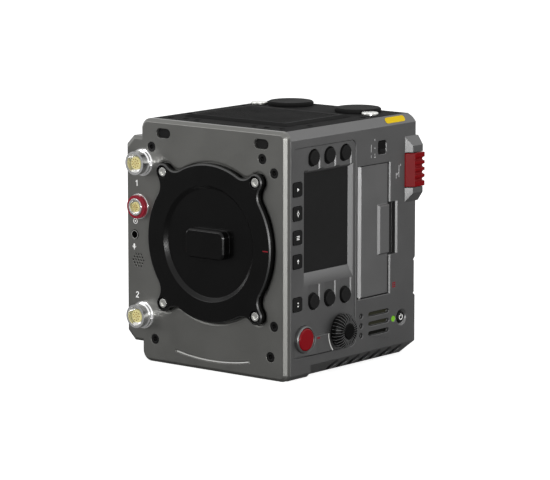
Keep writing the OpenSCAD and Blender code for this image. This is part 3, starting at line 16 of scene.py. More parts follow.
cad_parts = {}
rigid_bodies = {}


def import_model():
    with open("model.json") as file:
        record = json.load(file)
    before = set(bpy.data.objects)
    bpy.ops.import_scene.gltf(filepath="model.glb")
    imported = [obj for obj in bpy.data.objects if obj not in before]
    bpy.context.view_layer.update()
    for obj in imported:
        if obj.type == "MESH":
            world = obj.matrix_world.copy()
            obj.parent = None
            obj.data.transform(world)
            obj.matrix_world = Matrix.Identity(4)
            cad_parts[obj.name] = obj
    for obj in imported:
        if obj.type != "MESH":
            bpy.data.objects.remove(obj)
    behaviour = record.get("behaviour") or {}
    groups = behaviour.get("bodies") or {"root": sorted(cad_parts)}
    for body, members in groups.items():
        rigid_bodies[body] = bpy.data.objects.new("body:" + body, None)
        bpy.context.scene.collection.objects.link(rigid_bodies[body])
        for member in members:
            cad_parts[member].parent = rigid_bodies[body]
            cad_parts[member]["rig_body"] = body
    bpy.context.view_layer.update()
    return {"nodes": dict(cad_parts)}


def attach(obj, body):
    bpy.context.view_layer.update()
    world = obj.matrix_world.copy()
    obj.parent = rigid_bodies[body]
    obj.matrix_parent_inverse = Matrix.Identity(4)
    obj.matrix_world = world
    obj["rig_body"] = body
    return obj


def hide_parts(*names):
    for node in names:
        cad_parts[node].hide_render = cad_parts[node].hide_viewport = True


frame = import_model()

MM = 0.001
MERGE_MM = 0.002
FLAT_ANGLE = math.radians(0.8)
EDGE_ANGLE = math.radians(28)
SMOOTH_ANGLE = math.radians(32)
CUT_DIST = MERGE_MM * MM / 4
NEAR_MM = 0.01
INK_MM = 0.05
WHITE = "#ffffff"

# A noise's values lie mostly between these two
FAC_LOW, FAC_HIGH = 0.3, 0.7
CLOUD_SCALE, CLOUD_DETAIL = 60.0, 3.0
SHARP_DETAIL, SOFT_DETAIL = 4.0, 1.0
TURNED_STRETCH = (1, 14, 1)
ROUGH_SPREAD = 0.08
BUMP_STRENGTH = 0.6
# A wall's normal has less than the first of these along Y, a slope's between the last two
WALL_TILT, SLOPE_LOW, SLOPE_HIGH = 0.1, 0.2, 0.97
MITRE_LEAST = 0.5

log = logging.getLogger("camera")


def linear(hex_colour: str) -> tuple[float, float, float, float]:
    """Turns an sRGB colour into linear light.

    Args:
        hex_colour: Six hexadecimal digits after a #.

    Returns:
        Red, green, blue and an alpha of 1.
    """
    shares = [int(hex_colour[i:i + 2], 16) / 255 for i in (1, 3, 5)]
    light = [c / 12.92 if c <= 0.04045 else ((c + 0.055) / 1.055) ** 2.4 for c in shares]
    return (*light, 1.0)


def add_node(tree: bpy.types.NodeTree, kind: str, inputs: dict | None = None,
             **settings) -> bpy.types.Node:
    """Adds one node to a tree.

    Args:
        tree: The node tree.
        kind: The node's type name.
        inputs: Values or sockets for its inputs, by name or number.
        **settings: Properties of the node.

    Returns:
        The new node.
    """
    node = tree.nodes.new(kind)
    for name, value in settings.items():
        setattr(node, name, value)
    for key, value in (inputs or {}).items():
        if isinstance(value, bpy.types.NodeSocket):
            tree.links.new(value, node.inputs[key])
        else:
            node.inputs[key].default_value = value
    return node


class Grain(Enum):
    """How the skin of a finish is textured."""

    BLASTED = "blasted"
    MOULDED = "moulded"
    TURNED = "turned"
    POLISHED = "polished"


@dataclass(frozen=True)
class Finish:
    """One surface finish, made from procedural nodes on Object coordinates."""

    name: str
    colour: str
    roughness: float
    metallic: float = 0.0
    ior: float = 1.5
    specular: float = 0.5
    grain: Grain = Grain.BLASTED
    grain_mm: float = 0.35
    depth_mm: float = 0.01
    tone: float = 0.05
    glow: float = 0.0

    def material(self) -> bpy.types.Material:
        """Makes the material once and returns it."""
        found = bpy.data.materials.get(self.name)
        if found:
            return found
        material = bpy.data.materials.new(self.name)
        material.use_nodes = True
        tree = material.node_tree
        tree.nodes.clear()
        place = add_node(tree, "ShaderNodeTexCoord").outputs["Object"]
        shader = self._shader(tree, place)
        add_node(tree, "ShaderNodeOutputMaterial", {"Surface": shader.outputs[0]})
        return material

    def _shader(self, tree: bpy.types.NodeTree, place: bpy.types.NodeSocket) -> bpy.types.Node:
        """Adds the shader with its tone, roughness and relief.

        Args:
            tree: The material's tree.
            place: The socket with the Object coordinates.

        Returns:
            The shader node.
        """
        grain = self._pattern(tree, place)
        cloud = add_node(tree, "ShaderNodeTexNoise", {
            "Vector": place, "Scale": CLOUD_SCALE, "Detail": CLOUD_DETAIL}).outputs["Fac"]
        base = linear(self.colour)
        darker = [c * (1 - self.tone) for c in base[:3]]
        lighter = [min(1.0, c * (1 + self.tone)) for c in base[:3]]
        both = add_node(tree, "ShaderNodeMath", {0: grain, 1: cloud}, operation="ADD")
        mean = add_node(tree, "ShaderNodeMath", {0: both.outputs[0], 1: 0.5}, operation="MULTIPLY")
        tone = add_node(tree, "ShaderNodeValToRGB", {"Fac": mean.outputs[0]})
        stops = tone.color_ramp.elements
        for stop, spot, colour in zip(stops, (FAC_LOW, FAC_HIGH), (darker, lighter)):
            stop.position = spot
            stop.color = (*colour, 1.0)
        rough = add_node(tree, "ShaderNodeMapRange", {
            "Value": cloud, "From Min": FAC_LOW, "From Max": FAC_HIGH,
            "To Min": self.roughness * (1 - ROUGH_SPREAD),
            "To Max": min(1.0, self.roughness * (1 + ROUGH_SPREAD))})
        bump = add_node(tree, "ShaderNodeBump", {
            "Height": grain, "Distance": self.depth_mm * MM, "Strength": BUMP_STRENGTH})
        inputs = {
            "Base Color": tone.outputs["Color"], "Roughness": rough.outputs[0],
            "Normal": bump.outputs[0], "Metallic": self.metallic}
        if self.metallic < 1:
            inputs["IOR"] = self.ior
            inputs["Specular IOR Level"] = self.specular
        if self.glow:
            inputs["Emission Color"] = base
            inputs["Emission Strength"] = self.glow
        return add_node(tree, "ShaderNodeBsdfPrincipled", inputs)

    def _pattern(self, tree: bpy.types.NodeTree,
                 place: bpy.types.NodeSocket) -> bpy.types.NodeSocket:
        """Adds the relief pattern at its real size.

        Args:
            tree: The material's tree.
            place: The socket with the Object coordinates.

        Returns:
            The socket with the height.
        """
        scale = 1 / (self.grain_mm * MM)
        if self.grain is Grain.MOULDED:
            cells = add_node(tree, "ShaderNodeTexVoronoi", {"Vector": place, "Scale": scale})
            return cells.outputs["Distance"]
        if self.grain is Grain.TURNED:
            stretched = add_node(tree, "ShaderNodeMapping", {
                "Vector": place, "Scale": TURNED_STRETCH})
            place = stretched.outputs[0]
        detail = SOFT_DETAIL if self.grain is Grain.POLISHED else SHARP_DETAIL
        noise = add_node(tree, "ShaderNodeTexNoise", {
            "Vector": place, "Scale": scale, "Detail": detail})
        return noise.outputs["Fac"]


# Real skins are finer: blasting leaves about 0.05 mm, moulding 0.1 mm and turning 0.1 mm. They are
# drawn at 0.2 to 1.2 mm, as coarse as they need to be to show.

# Bead-blasted and hard-anodised aluminium: an even warm grey that shines softly on its edges
FRONT_METAL = Finish("anodised_aluminium_front", "#767673", 0.38, 0.72, grain_mm=0.3)
# Near-white, almost matt strip laid in the groove under the cap and on the ridge's end by the dial:
# a painted highlight that stands for their lit edges
PAINTED_HIGHLIGHT = Finish("painted_highlight_strip", "#f2f2ef", 0.3, 0.25, grain_mm=0.3)
# The same metal on the sides, a neutral grey
SHELL_METAL = Finish("anodised_aluminium_shell", "#6e6e6e", 0.38, 0.72, grain_mm=0.3)
# The door: the shell's metal made a shade lighter, painted light for the brighter look of the
# door's face
LIT_DOOR_METAL = Finish("anodised_aluminium_door_lit", "#7c7c7c", 0.38, 0.72, grain_mm=0.3)
# Near-black sheets at the bottom of the lower air slot and of the dots, and lighter olive-toned
# sheets in the upper slots: painted shade in the slots' depth
DEEP_SLOT_SHADE = Finish("deep_slot_painted_shade", "#12120f", 0.6, specular=0.05, grain_mm=0.2)
OLIVE_SHADE = Finish("olive_painted_shade", "#35352a", 0.6, specular=0.05, grain_mm=0.2)
# Dark grey sheets on the floor and back wall of the finger recess behind the door: painted shade in
# the recess
RECESS_SHADE = Finish("recess_painted_shade", "#343434", 0.6, specular=0.05, grain_mm=0.3)
# Black-anodised aluminium of the top, base and rear: dull, with a faint grain
COVER_METAL = Finish("black_anodised_aluminium", "#1b1b1b", 0.5, specular=0.1, grain_mm=0.3)
# The same coat on the top, in a lighter copy with almost no gloss: painted light for the top's lit
# tone, as it is seen edge-on
LIT_TOP_METAL = Finish("black_anodised_top_lit", "#2c2c2c", 0.6, specular=0.006, grain_mm=0.3)
# Moulded grille and round caps of the top
TOP_NYLON = Finish("moulded_nylon_top", "#262626", 0.5, specular=0.008, grain=Grain.MOULDED,
                   grain_mm=0.4)
# Glass-filled nylon of the port cap: matt black with a moulded texture
CAP_NYLON = Finish("moulded_nylon", "#060606", 0.24, specular=0.24, grain=Grain.MOULDED,
                   grain_mm=0.4)
# The cap's rim: a slightly lighter and far glossier copy of the black, a painted sheen that makes
# the rim shine as a grey line
SHEEN_NYLON = Finish("nylon_rim_painted_sheen", "#101010", 0.42, specular=0.9, grain=Grain.MOULDED,
                    grain_mm=0.4)
# ABS of sockets, lock and fan: matt black
BLACK_ABS = Finish("moulded_abs", "#0c0c0c", 0.5, specular=0.08, grain=Grain.MOULDED)
# Black-oxide steel of the hex screws: dark with small sharp glints
BLACK_STEEL = Finish("black_oxide_steel", "#0a0a0a", 0.35, specular=0.25, grain_mm=0.2)
# Silicone rubber of the keys: dark and soft, hardly any gloss
KEY_RUBBER = Finish("silicone_rubber", "#1a1a1a", 0.5, specular=0.12, grain=Grain.MOULDED,
                    grain_mm=0.3)
# Polycarbonate of the dial: near black, a little gloss on its ribs
DIAL_PLASTIC = Finish("moulded_polycarbonate", "#080808", 0.4, specular=0.08, grain=Grain.MOULDED)
# The crests of its ribs in mid grey: a painted highlight for their lit tops
RIB_HIGHLIGHT_PLASTIC = Finish("rib_painted_highlight", "#6e6e6e", 0.35, specular=0.3, grain=Grain.MOULDED)
# Satin chrome on brass of the receptacle shells: bright, with hairlines from turning
CHROME = Finish("satin_chrome", "#ffffff", 0.2, 0.92, grain=Grain.TURNED, grain_mm=1.2,
                depth_mm=0.004)
# Stainless steel of small screws and studs
STAINLESS = Finish("stainless_steel", "#e8e8e4", 0.25, 0.9, grain=Grain.TURNED, grain_mm=1.0)
# Cream insulator that carries the contacts
INSULATOR = Finish("polymer_insulator", "#fff3b4", 0.4, grain=Grain.POLISHED, grain_mm=0.8,
                   depth_mm=0.0)
# Red-anodised aluminium of the lever: deep and saturated, satin
LEVER_RED = Finish("red_anodised_aluminium", "#86070f", 0.32, specular=0.1, grain_mm=0.3)
# Gold plating of the contacts
GOLD = Finish("gold_plating", "#c9a24a", 0.3, 1.0, grain=Grain.POLISHED, depth_mm=0.0)
# Red ABS of the record button
BUTTON_RED = Finish("red_abs", "#8a0714", 0.3, specular=0.2, grain=Grain.MOULDED)
# Red-lacquered ring of the lens control receptacle
RING_RED = Finish("red_lacquer", "#9c2334", 0.28, specular=0.3, grain=Grain.POLISHED,
                  depth_mm=0.002)
# Cover glass of the display: smooth and nearly black
GLASS = Finish("cover_glass", "#242424", 0.3, specular=0.1, grain=Grain.POLISHED, grain_mm=3,
               depth_mm=0.0)
# Lit lens of the status light
LAMP = Finish("lit_acrylic", "#6fae2a", 0.3, specular=0.2, grain=Grain.POLISHED, depth_mm=0.0,
              glow=0.35)
# Bare milled aluminium of the heat sink
MILLED = Finish("milled_aluminium", "#a4a6a8", 0.35, 1.0, grain=Grain.TURNED, grain_mm=0.6)
# Green solder resist
RESIST = Finish("solder_resist", "#1f5a36", 0.4, grain=Grain.POLISHED, grain_mm=2)
# Screen-printed white ink of the symbols; its glow is painted light that makes the print brighter
# than the lamps would
WHITE_INK = Finish("white_ink", "#f6f6f4", 0.6, specular=0.2, grain=Grain.POLISHED, depth_mm=0.0,
                   tone=0.02, glow=0.3)
# Screen-printed grey ink of the small marks
GREY_INK = Finish("grey_ink", "#d8d8d8", 0.6, specular=0.2, grain=Grain.POLISHED, depth_mm=0.0,
                  tone=0.02)
# Screen-printed red ink
RED_INK = Finish("red_ink", "#921c28", 0.6, specular=0.2, grain=Grain.POLISHED, depth_mm=0.0,
                 tone=0.02)
# Yellow vinyl of the bare badge
YELLOW_VINYL = Finish("yellow_vinyl", "#f8d21c", 0.4, specular=0.1, grain=Grain.POLISHED,
                      depth_mm=0.0)

NODE_FINISHES = {
    FRONT_METAL: ["front_plate", "left_shell"],
    SHELL_METAL: ["right_shell", "control_panel", "rear_panel", "record_bezel"],
    LIT_DOOR_METAL: ["media_door"],
    COVER_METAL: ["bottom_plate", "battery_plate", "media_bay"],
    LIT_TOP_METAL: ["top_cover"],
    TOP_NYLON: ["top_grille", "top_caps"],
    CAP_NYLON: ["port_cap"],
    BLACK_ABS: ["mic_jack", "mic_capsule", "display_module", "media_lock", "media_card",
                "fan_housing", "fan_rotor"],
    BLACK_STEEL: ["front_screws"],
    KEY_RUBBER: [f"soft_key_{i}" for i in range(1, 7)] + [f"menu_key_{i}" for i in range(1, 6)]
    + ["power_button"],
    DIAL_PLASTIC: ["jog_dial", "dial_button"],
    CHROME: ["video_port_upper", "video_port_lower", "lens_port_shell", "sdi_connectors",
             "power_inlet"],
    STAINLESS: ["lens_mount_ring", "port_cap_screws", "door_hinge_pin", "strap_studs"],
    INSULATOR: ["video_port_inserts", "lens_port_insert"],
    LEVER_RED: ["release_lever", "battery_latch"],
    BUTTON_RED: ["record_button"],
    RING_RED: ["lens_port_ring"],
    GLASS: ["slot_windows", "display_glass", "image_sensor"],
    LAMP: ["status_light"],
    MILLED: ["heat_sink", "dial_encoder"],
    RESIST: ["sensor_board", "main_board", "key_board"],
}
FINISH_OF = {node: finish for finish, nodes in NODE_FINISHES.items() for node in nodes}


@dataclass(frozen=True)
class Slope:
    """A slope round a rim in a face that looks along -Y."""

    face: float
    width: float
    depth: float
    centre: tuple[float, float]
    half: float
    reach: float
    skip: tuple = ()
    finish: Finish | None = None

    def cut(self, bm: bmesh.types.BMesh) -> None:
        """Cuts the slope into a mesh in metres.

        Args:
            bm: The mesh, whose walls round the rim run along Y.
        """
        geometry = [*bm.verts, *bm.edges, *bm.faces]
        level = (self.face + self.depth) * MM
        bmesh.ops.bisect_plane(bm, geom=geometry, dist=CUT_DIST, plane_co=(0, level, 0),
                               plane_no=(0, 1, 0))
        moves = {}
        for v in bm.verts:
            spot = v.co / MM
            far = math.hypot(spot.x - self.centre[0], spot.z - self.centre[1])
            off = abs(spot.y - self.face) > MERGE_MM
            if off or abs(spot.x) > self.half or far > self.reach:
                continue
            if any(math.hypot(spot.x - x, spot.z - z) < radius for x, z, radius in self.skip):
                continue
            walls = [f for f in v.link_faces if abs(f.normal.y) < WALL_TILT]
            if not walls:
                continue
            first = walls[0].normal
            last = min((f.normal for f in walls), key=first.dot)
            mean = (first + last).normalized()
            moves[v] = mean * (-self.width * MM / max(MITRE_LEAST, mean.dot(first)))
        for v, move in moves.items():
            v.co += move
        for f in {f for v in moves for f in v.link_faces if self.finish}:
            f.normal_update()
            if SLOPE_LOW < abs(f.normal.y) < SLOPE_HIGH:
                f.material_index = 1


@dataclass(frozen=True)
class Lip:
    """A slope on the front wall of a pocket in a face that looks along +X."""

    face: float
    wall: float
    span: tuple[float, float]
    width: float

    def cut(self, bm: bmesh.types.BMesh) -> None:
        """Cuts the slope into a mesh in metres.

        Args:
            bm: The mesh, whose pocket wall looks along +Y.
        """
        def lies(v: bmesh.types.BMVert) -> bool:
            """Tells whether a vertex is on the wall."""
            return (abs(v.co.y / MM - self.wall) < NEAR_MM
                    and self.span[0] < v.co.z / MM < self.span[1])

        faces = [f for f in bm.faces if all(lies(v) for v in f.verts)]
        edges = {e for f in faces for e in f.edges}
        verts = {v for f in faces for v in f.verts}
        bmesh.ops.bisect_plane(bm, geom=[*verts, *edges, *faces], dist=CUT_DIST,
                               plane_co=((self.face - self.width) * MM, 0, 0), plane_no=(1, 0, 0))
        for v in bm.verts:
            if lies(v) and abs(v.co.x / MM - self.face) < NEAR_MM:
                v.co.y -= self.width * MM


def mesh_object(name: str, bm: bmesh.types.BMesh, finish: Finish,
                smooth: bool = True) -> bpy.types.Object:
    """Turns an edited mesh into an object at the origin.

    Args:
        name: The object's name.
        bm: The mesh, in metres in the part's frame. It is freed.
        finish: The finish that it gets.
        smooth: Whether shallow edges are shaded smooth.

    Returns:
        The object, linked to the scene.
    """
    mesh = bpy.data.meshes.new(name)
    bm.to_mesh(mesh)
    bm.free()
    mesh.materials.append(finish.material())
    if smooth:
        mesh.shade_smooth()
        mesh.set_sharp_from_angle(angle=SMOOTH_ANGLE)
    piece = bpy.data.objects.new(name, mesh)
    bpy.context.scene.collection.objects.link(piece)
    return piece


def baked(piece: bpy.types.Object) -> bpy.types.Object:
    """Applies an object's modifiers to its mesh.

    Args:
        piece: The object.

    Returns:
        The same object, with a plain mesh and no modifier.
    """
    graph = bpy.context.evaluated_depsgraph_get()
    mesh = bpy.data.meshes.new_from_object(piece.evaluated_get(graph), depsgraph=graph)
    mesh.name = piece.name
    piece.modifiers.clear()
    piece.data = mesh
    return piece


def fitted(piece: bpy.types.Object, node: str, replaces: bool = True) -> bpy.types.Object:
    """Makes a piece ride with a CAD node and, if asked, stand for it.

    Args:
        piece: The piece, in place.
        node: The CAD node.
        replaces: Whether the node is hidden.

    Returns:
        The piece.
    """
    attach(piece, frame["nodes"][node]["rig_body"])
    if replaces:
        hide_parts(node)
    log.info("%s rides with %s", piece.name, node)
    return piece


def softened(node: str, width: float, cut: Slope | Lip | None = None) -> bpy.types.Object:
    """Replaces a CAD node by a copy whose sharp edges are rounded.

    Args:
        node: The CAD node.
        width: Width of the rounding, in millimetres.
        cut: A slope that is cut before the rounding.

    Returns:
        The piece that stands for the node.
    """
    bm = bmesh.new()
    bm.from_mesh(frame["nodes"][node].data)
    bmesh.ops.remove_doubles(bm, verts=bm.verts, dist=MERGE_MM * MM)
    bmesh.ops.dissolve_limit(bm, angle_limit=FLAT_ANGLE, verts=bm.verts, edges=bm.edges)
    if cut:
        cut.cut(bm)
    piece = mesh_object(f"{node}_body", bm, FINISH_OF[node])
    if isinstance(cut, Slope) and cut.finish:
        piece.data.materials.append(cut.finish.material())
    return fitted(edged(piece, width), node)


def combined(piece: bpy.types.Object, other: bpy.types.Object, way: str) -> None:
    """Joins a solid to a piece or cuts it away, and deletes the solid.

    Args:
        piece: The piece that is changed.
        other: The other solid.
        way: UNION or DIFFERENCE.
    """
    step = piece.modifiers.new("combine", "BOOLEAN")
    step.operation = way
    step.object = other
    step.solver = "EXACT"
    baked(piece)
    bpy.data.objects.remove(other)


def edged(piece: bpy.types.Object, width: float) -> bpy.types.Object:
    """Rounds the sharp edges of a piece.

    Args:
        piece: The piece.
        width: Width of the rounding, in millimetres.

    Returns:
        The same piece, with a plain mesh.
    """
    bevel = piece.modifiers.new("edges", "BEVEL")
    bevel.width = width * MM
    bevel.segments = 2
    bevel.limit_method = "ANGLE"
    bevel.angle_limit = EDGE_ANGLE
    bevel.use_clamp_overlap = False
    weighted = piece.modifiers.new("even", "WEIGHTED_NORMAL")
    weighted.weight = 100
    weighted.keep_sharp = True
    return baked(piece)


def dressed(*nodes: str) -> None:
    """Gives CAD nodes that stay as they are their finish.

    Args:
        *nodes: The nodes' names.
    """
    for node in nodes:
        data = frame["nodes"][node].data
        data.materials.clear()
        data.materials.append(FINISH_OF[node].material())


@dataclass
class Studio:
    """Floor, soft lamps, pale surround and the photograph's camera."""

    azimuth: float = 39.281
    elevation: float = 9.238
    distance: float = 1765.2
    aim: tuple[float, float, float] = (0.0, -3.1, 60.8)
    lens: float = 225.8
    sensor: float = 36.0
    sight: float = 20000.0
    floor_half: float = 4000.0
    floor_colour: str = "#f4f4f4"
    bounce_colour: str = "#9c9c9c"
    floor_glow: float = 0.75
    ambient: float = 0.4
    lamps: dict = field(default_factory=lambda: {
        "key": ((1500.0, -1230.0, 120.0), 420.0, 17.0),
        "left": ((-1200.0, -1500.0, 1100.0), 900.0, 7.0),
        "low_left": ((-1500.0, -760.0, 160.0), 260.0, 1.5),
        "right": ((1700.0, 900.0, 900.0), 900.0, 5.0),
        "top": ((0.0, 200.0, 2200.0), 900.0, 5.0),
    })

    def build(self) -> None:
        """Builds the floor, the lamps, the world and the camera."""
        self._camera()
        self._lamps()
        self._world()
        self._floor()
        bpy.context.scene.view_settings.view_transform = "Standard"

    def _camera(self) -> None:
        """Places the camera at the photograph's viewing angle."""
        turn, lift = math.radians(self.azimuth), math.radians(self.elevation)
        towards = Vector((math.sin(turn) * math.cos(lift), -math.cos(turn) * math.cos(lift),
                          math.sin(lift)))
        data = bpy.data.cameras.new("camera_view")
        data.lens = self.lens
        data.sensor_width = self.sensor
        data.clip_end = self.sight * MM
        camera = bpy.data.objects.new("camera_view", data)
        camera.location = (Vector(self.aim) + towards * self.distance) * MM
        camera.rotation_euler = (-towards).to_track_quat("-Z", "Y").to_euler()
        bpy.context.scene.collection.objects.link(camera)
        bpy.context.scene.camera = camera

    def _lamps(self) -> None:
        """Hangs the soft boxes, each aimed at the middle of the part."""
        for name, (spot, size, power) in self.lamps.items():
            data = bpy.data.lights.new(name, "AREA")
            data.shape = "DISK"
            data.size = size * MM
            data.energy = power
            lamp = bpy.data.objects.new(name, data)
            lamp.location = Vector(spot) * MM
            way = Vector(self.aim) - Vector(spot)
            lamp.rotation_euler = way.to_track_quat("-Z", "Y").to_euler()
            bpy.context.scene.collection.objects.link(lamp)

    def _world(self) -> None:
        """Makes the surround white to the camera and in gloss, and plain for soft light."""
        world = bpy.data.worlds.new("surround")
        world.use_nodes = True
        bpy.context.scene.world = world
        tree = world.node_tree
        tree.nodes.clear()
        path = add_node(tree, "ShaderNodeLightPath")
        seen = path.outputs["Is Camera Ray"]
        for kind in ("Is Glossy Ray", "Is Transmission Ray"):
            either = add_node(tree, "ShaderNodeMath", {0: seen, 1: path.outputs[kind]},
                              operation="MAXIMUM")
            seen = either.outputs[0]
        strength = add_node(tree, "ShaderNodeMapRange", {
            "Value": seen, "To Min": self.ambient, "To Max": 1.0})
        light = add_node(tree, "ShaderNodeBackground", {
            "Color": linear(WHITE), "Strength": strength.outputs[0]})
        add_node(tree, "ShaderNodeOutputWorld", {"Surface": light.outputs[0]})

    def _floor(self) -> None:
        """Lays the pale floor, which keeps a faint shadow."""
        bm = bmesh.new()
        bmesh.ops.create_grid(bm, x_segments=1, y_segments=1, size=self.floor_half * MM)
        mesh = bpy.data.meshes.new("floor")
        bm.to_mesh(mesh)
        bm.free()
        material = bpy.data.materials.new("pale_floor")
        material.use_nodes = True
        tree = material.node_tree
        tree.nodes.clear()
        path = add_node(tree, "ShaderNodeLightPath")
        matt = add_node(tree, "ShaderNodeBsdfDiffuse", {"Color": linear(self.floor_colour)})
        dull = add_node(tree, "ShaderNodeBsdfDiffuse", {"Color": linear(self.bounce_colour)})
        bright = add_node(tree, "ShaderNodeEmission", {
            "Color": linear(WHITE), "Strength": self.floor_glow})
        lit = add_node(tree, "ShaderNodeAddShader", {0: matt.outputs[0], 1: bright.outputs[0]})
        either = add_node(tree, "ShaderNodeMixShader", {
            0: path.outputs["Is Camera Ray"], 1: dull.outputs[0], 2: lit.outputs[0]})
        add_node(tree, "ShaderNodeOutputMaterial", {"Surface": either.outputs[0]})
        mesh.materials.append(material)
        floor = bpy.data.objects.new("floor", mesh)
        bpy.context.scene.collection.objects.link(floor)


Loop = list[tuple[float, float]]


def strokes(points: Loop, width: float) -> list[Loop]:
    """Turns a line through points into one thin quad a segment, mitred at the points.

    Args:
        points: Places along the line. A line that ends where it starts is closed.
        width: Width of the line.

    Returns:
        The quads' corners.
    """
    closed = math.dist(points[0], points[-1]) < MERGE_MM
    spots = points[:-1] if closed else points
    sides = []
    for i, (x, z) in enumerate(spots):
        before = spots[i - 1] if closed or i else None
        after = spots[(i + 1) % len(spots)] if closed or i + 1 < len(spots) else None
        ways = [((b[0] - a[0]) / math.dist(a, b), (b[1] - a[1]) / math.dist(a, b))
                for a, b in ((before, (x, z)), ((x, z), after)) if a and b]
        (ax, az), (bx, bz) = ways[0], ways[-1]
        size = math.hypot(ax + bx, az + bz) or 1.0
        nx, nz = -(az + bz) / size, (ax + bx) / size
        reach = width / 2 / max(MITRE_LEAST, nz * ax - nx * az)
        sides.append(((x + nx * reach, z + nz * reach), (x - nx * reach, z - nz * reach)))
    following = sides[1:] + sides[:1] if closed else sides[1:]
    return [[a[1], b[1], b[0], a[0]] for a, b in zip(sides, following)]


def arc(radius: float, start: float, end: float, steps: int = 16) -> Loop:
    """Returns places along an arc round the origin.

    Args:
        radius: Radius of the arc.
        start: Angle where it starts, in degrees.
        end: Angle where it ends, in degrees.
        steps: Number of equal steps.

    Returns:
        The places, with both ends.
    """
    angles = [math.radians(start + (end - start) * i / steps) for i in range(steps + 1)]
    return [(radius * math.cos(a), radius * math.sin(a)) for a in angles]


def rounded(width: float, height: float, radius: float) -> Loop:
    """Returns the outline of a rectangle with round corners round the origin.

    Args:
        width: Size along the first axis.
        height: Size along the second axis.
        radius: Radius of the corners.

    Returns:
        The places along the outline.
    """
    corners = [(1, 1, 0), (-1, 1, 90), (-1, -1, 180), (1, -1, 270)]
    return [(i * (width / 2 - radius) + x, k * (height / 2 - radius) + z)
            for i, k, turn in corners for x, z in arc(radius, turn, turn + 90, 6)]


@dataclass(frozen=True)
class Glyph:
    """A flat symbol of filled outlines and of lines, each with its width."""

    fills: tuple = ()
    lines: tuple = ()
    spot: tuple[float, float] = (0.0, 0.0)

    def loops(self) -> list[Loop]:
        """Returns the outlines of all its parts, moved to its spot."""
        parts = [*self.fills, *(loop for line in self.lines for loop in strokes(*line))]
        return [[(self.spot[0] + u, self.spot[1] + v) for u, v in loop] for loop in parts]


def loft(bm: bmesh.types.BMesh, rings: list[list[Vector]]) -> None:
    """Adds a closed solid through rings that have as many places each.

    Args:
        bm: The mesh that it is added to, in metres.
        rings: The rings in millimetres, in order from one end to the other.
    """
    made = [[bm.verts.new(spot * MM) for spot in ring] for ring in rings]
    bm.faces.new(made[0][::-1])
    bm.faces.new(made[-1])
    for low, high in zip(made, made[1:]):
        for i in range(len(low)):
            k = (i + 1) % len(low)
            bm.faces.new((low[i], low[k], high[k], high[i]))


def plates(name: str, loops: list[Loop], place: Matrix, thickness: float,
           finish: Finish) -> bpy.types.Object:
    """Builds thin closed plates from outlines.

    Args:
        name: Name of the piece.
        loops: Outlines in millimetres in the plates' own plane.
        place: Turns the plane's first, second and outward axes into the part's frame.
        thickness: Thickness of the plates, in millimetres.
        finish: Their finish.

    Returns:
        The piece, not yet on a body.
    """
    bm = bmesh.new()
    for loop in loops:
        loft(bm, [[place @ Vector((u, v, rise)) for u, v in loop] for rise in (0, thickness)])
    bmesh.ops.remove_doubles(bm, verts=bm.verts, dist=MERGE_MM * MM / 100)
    inner = [f for f in bm.faces if all(len(e.link_faces) > 2 for e in f.edges)]
    bmesh.ops.delete(bm, geom=inner, context="FACES_ONLY")
    bmesh.ops.recalc_face_normals(bm, faces=bm.faces)
    return mesh_object(name, bm, finish, smooth=False)


def stuck(name: str, node: str, loops: list[Loop], place: Matrix, finish: Finish,
          thickness: float = INK_MM) -> None:
    """Builds thin plates that ride with a CAD node and leave it in view.

    Args:
        name: Name of the piece.
        node: The CAD node.
        loops: Outlines in millimetres in the plates' own plane.
        place: Turns the plane's first, second and outward axes into the part's frame.
        finish: Their finish.
        thickness: Thickness of the plates, in millimetres.
    """
    fitted(plates(name, loops, place, thickness, finish), node, replaces=False)


def front_place(x: float, y: float, z: float) -> Matrix:
    """Returns the frame of a mark on a face that looks along -Y.

    Args:
        x, y, z: The frame's origin, in millimetres.

    Returns:
        The frame, with X first, Z second and -Y outward.
    """
    return Matrix(((1, 0, 0, x), (0, 0, -1, y), (0, 1, 0, z), (0, 0, 0, 1)))


def side_place(x: float, y: float, z: float, lean: float = 0.0) -> Matrix:
    """Returns the frame of a mark on a face that looks along +X.

    Args:
        x, y, z: The frame's origin, in millimetres.
        lean: How far the face leans back, in degrees.

    Returns:
        The frame, with Y first, Z second and X outward.
    """
    tilt = Matrix.Rotation(-math.radians(lean), 4, "Y")
    return Matrix.Translation((x, y, z)) @ tilt @ Matrix(
        ((0, 0, 1, 0), (1, 0, 0, 0), (0, 1, 0, 0), (0, 0, 0, 1)))


